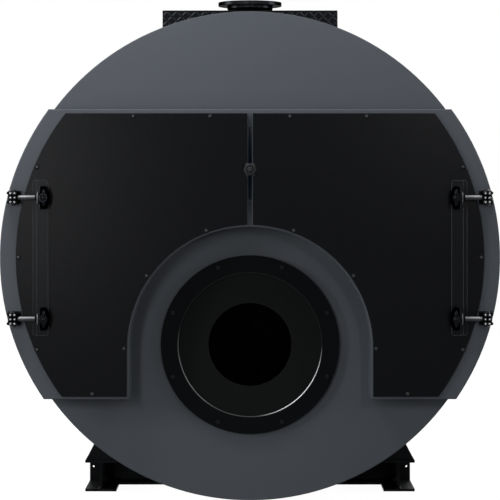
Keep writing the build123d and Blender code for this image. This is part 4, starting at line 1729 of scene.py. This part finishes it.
@dataclass
class FlueEnd(Assembly):
    """Flue gas collector at the back with its outlet and cleaning covers."""

    bead: float = 0.005
    bead_rise: float = 0.001
    bead_step: float = 0.05
    bead_pitch: float = 0.012
    cover_width: float = 0.420
    stud_inset: float = 0.022
    stud_radius: float = 0.006
    stud_tip: Point = (0.0045, 0.018)
    stud_shoulder: float = 0.0165
    washer_radius: float = 0.012
    washer_height: float = 0.0018
    nut: Point = (0.019, 0.010)
    grip_radius: float = 0.007
    grip_half: float = 0.075
    grip_reach: float = 0.045
    grip_bend: float = 0.022

    def build(self) -> None:
        """Make the collector's weld, the covers' nuts and their grips."""
        at = LAYOUT
        weld, nuts, grips = MeshShop(), MeshShop(), MeshShop()
        low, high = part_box("flue_collector")
        radius, y = (high.x - low.x) / 2 + self.bead_rise, at.rear + self.bead_rise
        weld.weld(hoop((0, at.axis), radius, y, self.bead_step), self.bead, AXIS_Y, pitch=self.bead_pitch)
        self.place(weld, "collector_weld", BODY_GREY, Slot.GREY)
        low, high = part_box("cleaning_covers")
        bottom, top, inset = low.z, high.z, self.stud_inset
        for side in Side:
            left, right = sorted((side.value * high.x, side.value * (high.x - self.cover_width)))
            columns = [left + inset + (self.cover_width - 2 * inset) * share for share in (0.0, 0.5, 1.0)]
            feet = [(x, z) for x in columns for z in (bottom + inset, top - inset)]
            levels = [bottom + (top - bottom) * share for share in (0.25, 0.5, 0.75)]
            feet += [(x, z) for z in levels for x in (left + inset, right - inset)]
            for foot in upright(feet, high.y):
                self.add_nut(nuts, foot)
            self.add_grip(grips, Vector(((left + right) / 2, high.y, (bottom + top) / 2)))
        self.place(nuts, "cover_nuts", DARK_STEEL, Slot.STEEL)
        self.place(grips, "cover_grips", HINGE_BLACK, Slot.DOOR)

    def add_nut(self, shop: MeshShop, foot: Vector) -> None:
        """Put a washer, a nut and a stud's end on a cover.

        Args:
            shop: Where the faces go.
            foot: Middle of its foot.
        """
        wide, rise = self.washer_radius, self.washer_height
        shop.turn([(wide, -0.0005), (wide, rise)], foot, AXIS_Y, steps=18)
        shop.hexagon(foot + AXIS_Y * rise, AXIS_Y, *self.nut)
        stud = [(self.stud_radius, 0.0), (self.stud_radius, self.stud_shoulder), self.stud_tip]
        shop.turn(stud, foot, AXIS_Y, steps=14)

    def add_grip(self, shop: MeshShop, middle: Vector) -> None:
        """Put a bent bar grip on a cover.

        Args:
            shop: Where the faces go.
            middle: Point on the cover behind its middle.
        """
        half, bend = self.grip_half, self.grip_bend
        path = [middle - AXIS_Z * half]
        for centre_z, start in ((bend - half, pi), (half - bend, pi / 2)):
            for angle in (start - i * pi / 12 for i in range(7)):
                reach = self.grip_reach - bend + bend * sin(angle)
                path.append(middle + Vector((0, reach, centre_z + bend * cos(angle))))
        shop.rope([*path, middle + AXIS_Z * half], self.grip_radius, AXIS_X, sides=12, closed=False)

    def dress(self) -> None:
        """Finish the collector, outlet and covers."""
        self.coat(BODY_GREY, "flue_collector", "flue_outlet")
        self.coat(DOOR_BLACK, "cleaning_covers")


@dataclass
class BaseFrame(Assembly):
    """Beams, cross beams and saddles with their welds."""

    bead: float = 0.005
    saddle_reach: Point = (0.780, 0.952)

    def build(self) -> None:
        """Make the welds along the saddles' feet."""
        shop = MeshShop()
        for name in ("saddle_front", "saddle_rear"):
            for side in Side:
                for y in (corner.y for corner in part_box(name)):
                    path = [Vector((side.value * x, y, LAYOUT.beam_top)) for x in self.saddle_reach]
                    shop.weld(path, self.bead, AXIS_Z, closed=False)
        self.place(shop, "saddle_welds", BASE_BLACK, Slot.BASE)

    def dress(self) -> None:
        """Finish the base frame and the hinge pins."""
        self.coat(BASE_BLACK, "base_beam_left", "base_beam_right", "beam_ribs", "saddle_front", "saddle_rear")
        self.coat(BASE_BLACK, *(f"cross_beam_{word}" for word in ("front", "middle", "rear")))
        self.coat(DARK_STEEL, "hinge_pins")


@dataclass(frozen=True)
class Lamp:
    """A soft rectangular lamp, placed ahead of the front wall."""

    name: str
    across: float
    ahead: float
    level: float
    aim: Triple
    size: Point
    power: float

    def hang(self) -> None:
        """Hang the lamp, hidden from the camera."""
        data = bpy.data.lights.new(self.name, "AREA")
        data.shape, data.energy = "RECTANGLE", self.power
        data.size, data.size_y = self.size
        lamp = bpy.data.objects.new(self.name, data)
        spot = Vector((self.across, LAYOUT.front - self.ahead, self.level))
        lamp.location = spot
        lamp.rotation_euler = (Vector(self.aim) - spot).to_track_quat("-Z", "Y").to_euler()
        lamp.visible_camera = False
        bpy.context.scene.collection.objects.link(lamp)


@dataclass
class Studio:
    """Floor, light and camera."""

    lens: float = 144.0
    sensor: float = 36.0
    camera_distance: float = 10.63
    camera_level: float = 1.803
    camera_shift: float = -0.14
    camera_reach: float = 200.0
    ambient: float = 0.04
    floor_radius: float = 16.0
    floor_levels: Point = (-0.02, -0.001)

    def lamps(self) -> tuple[Lamp, ...]:
        """List the lamps, with their place, aim, size and power in watts.

        Returns:
            The lamps.
        """
        front = LAYOUT.front
        return (
            Lamp("key_light", -1.5, 1.3, 3.9, (0.0, front, 1.9), (0.9, 0.9), 17.0),
            Lamp("soft_key_light", -1.5, 2.1, 4.1, (-0.1, front, 1.7), (1.3, 1.3), 9.0),
            Lamp("high_right_light", 1.6, 1.5, 4.4, (0.0, front, 1.7), (1.2, 1.2), 12.0),
            Lamp("top_left_light", -1.2, 0.9, 4.4, (0.0, front, 1.5), (0.9, 0.9), 18.0),
            Lamp("top_right_light", 1.2, 0.9, 4.4, (0.0, front, 1.5), (0.9, 0.9), 19.0),
            Lamp("left_softbox", -2.3, 8.0, 2.2, (0.0, front, 1.5), (0.7, 2.4), 114.0),
            Lamp("right_softbox", 2.0, 8.0, 2.9, (0.0, front, 1.5), (0.45, 0.8), 46.0),
            Lamp("left_strip", -3.8, 2.4, 1.9, (-1.0, front, 1.6), (0.35, 1.4), 38.0),
            Lamp("right_strip", 5.5, 3.2, 1.9, (0.0, front, 1.4), (0.35, 2.0), 24.0),
            Lamp("left_side_light", -6.0, -1.8, 3.6, (0.0, 0.0, 1.4), (2.5, 2.0), 150.0),
            Lamp("right_side_light", 6.0, -1.8, 3.6, (0.0, 0.0, 1.4), (2.5, 2.0), 120.0),
            Lamp("rear_light", 2.5, -8.2, 4.6, (0.0, 0.0, 1.4), (3.0, 3.0), 160.0),
        )

    def build(self) -> None:
        """Make the floor, the world, the lamps and the camera."""
        self.build_floor()
        self.build_world()
        for lamp in self.lamps():
            lamp.hang()
        data = bpy.data.cameras.new("camera")
        data.lens, data.sensor_width, data.clip_end = self.lens, self.sensor, self.camera_reach
        data.shift_y = self.camera_shift
        camera = bpy.data.objects.new("camera", data)
        camera.location = (0, LAYOUT.front - self.camera_distance, self.camera_level)
        camera.rotation_euler = (radians(90), 0, 0)
        scene = bpy.context.scene
        scene.collection.objects.link(camera)
        scene.camera = camera
        scene.view_settings.view_transform = "Standard"

    def build_floor(self) -> None:
        """Make the pale floor."""
        shop = MeshShop()
        shop.turn([(self.floor_radius, z) for z in self.floor_levels], Vector((0, 0, 0)), AXIS_Z, steps=96)
        floor = shop.finish("studio_floor")
        floor.data.materials.append(PaleFloor().material())

    def build_world(self) -> None:
        """Make the world: soft light, and plain white where it is seen or mirrored."""
        world = bpy.data.worlds.new("studio_world")
        world.use_nodes = True
        world.node_tree.nodes.clear()
        sheet = Sheet(world.node_tree)
        strength = sheet.seen() * (1.0 - self.ambient) + self.ambient
        glow = sheet.run("ShaderNodeBackground", {"Color": (1.0, 1.0, 1.0), "Strength": strength})
        sheet.add("ShaderNodeOutputWorld", {"Surface": glow})
        bpy.context.scene.world = world


def main() -> None:
    """Build every sub-assembly in order, then the studio."""
    logging.basicConfig(level=logging.INFO, format="%(message)s")
    doors = [Door(side) for side in Side]
    hinges = [Hinges(side) for side in Side]
    assemblies: Iterable[Assembly] = (
        Jacket(), TubeBank(), DoorHousing(), *doors, *hinges, BurnerPort(), Walkway(), FlowNozzle(),
        FlueEnd(), BaseFrame(),
    )
    for assembly in assemblies:
        assembly.build()
        assembly.dress()
    Studio().build()


if __name__ == "__main__":
    main()
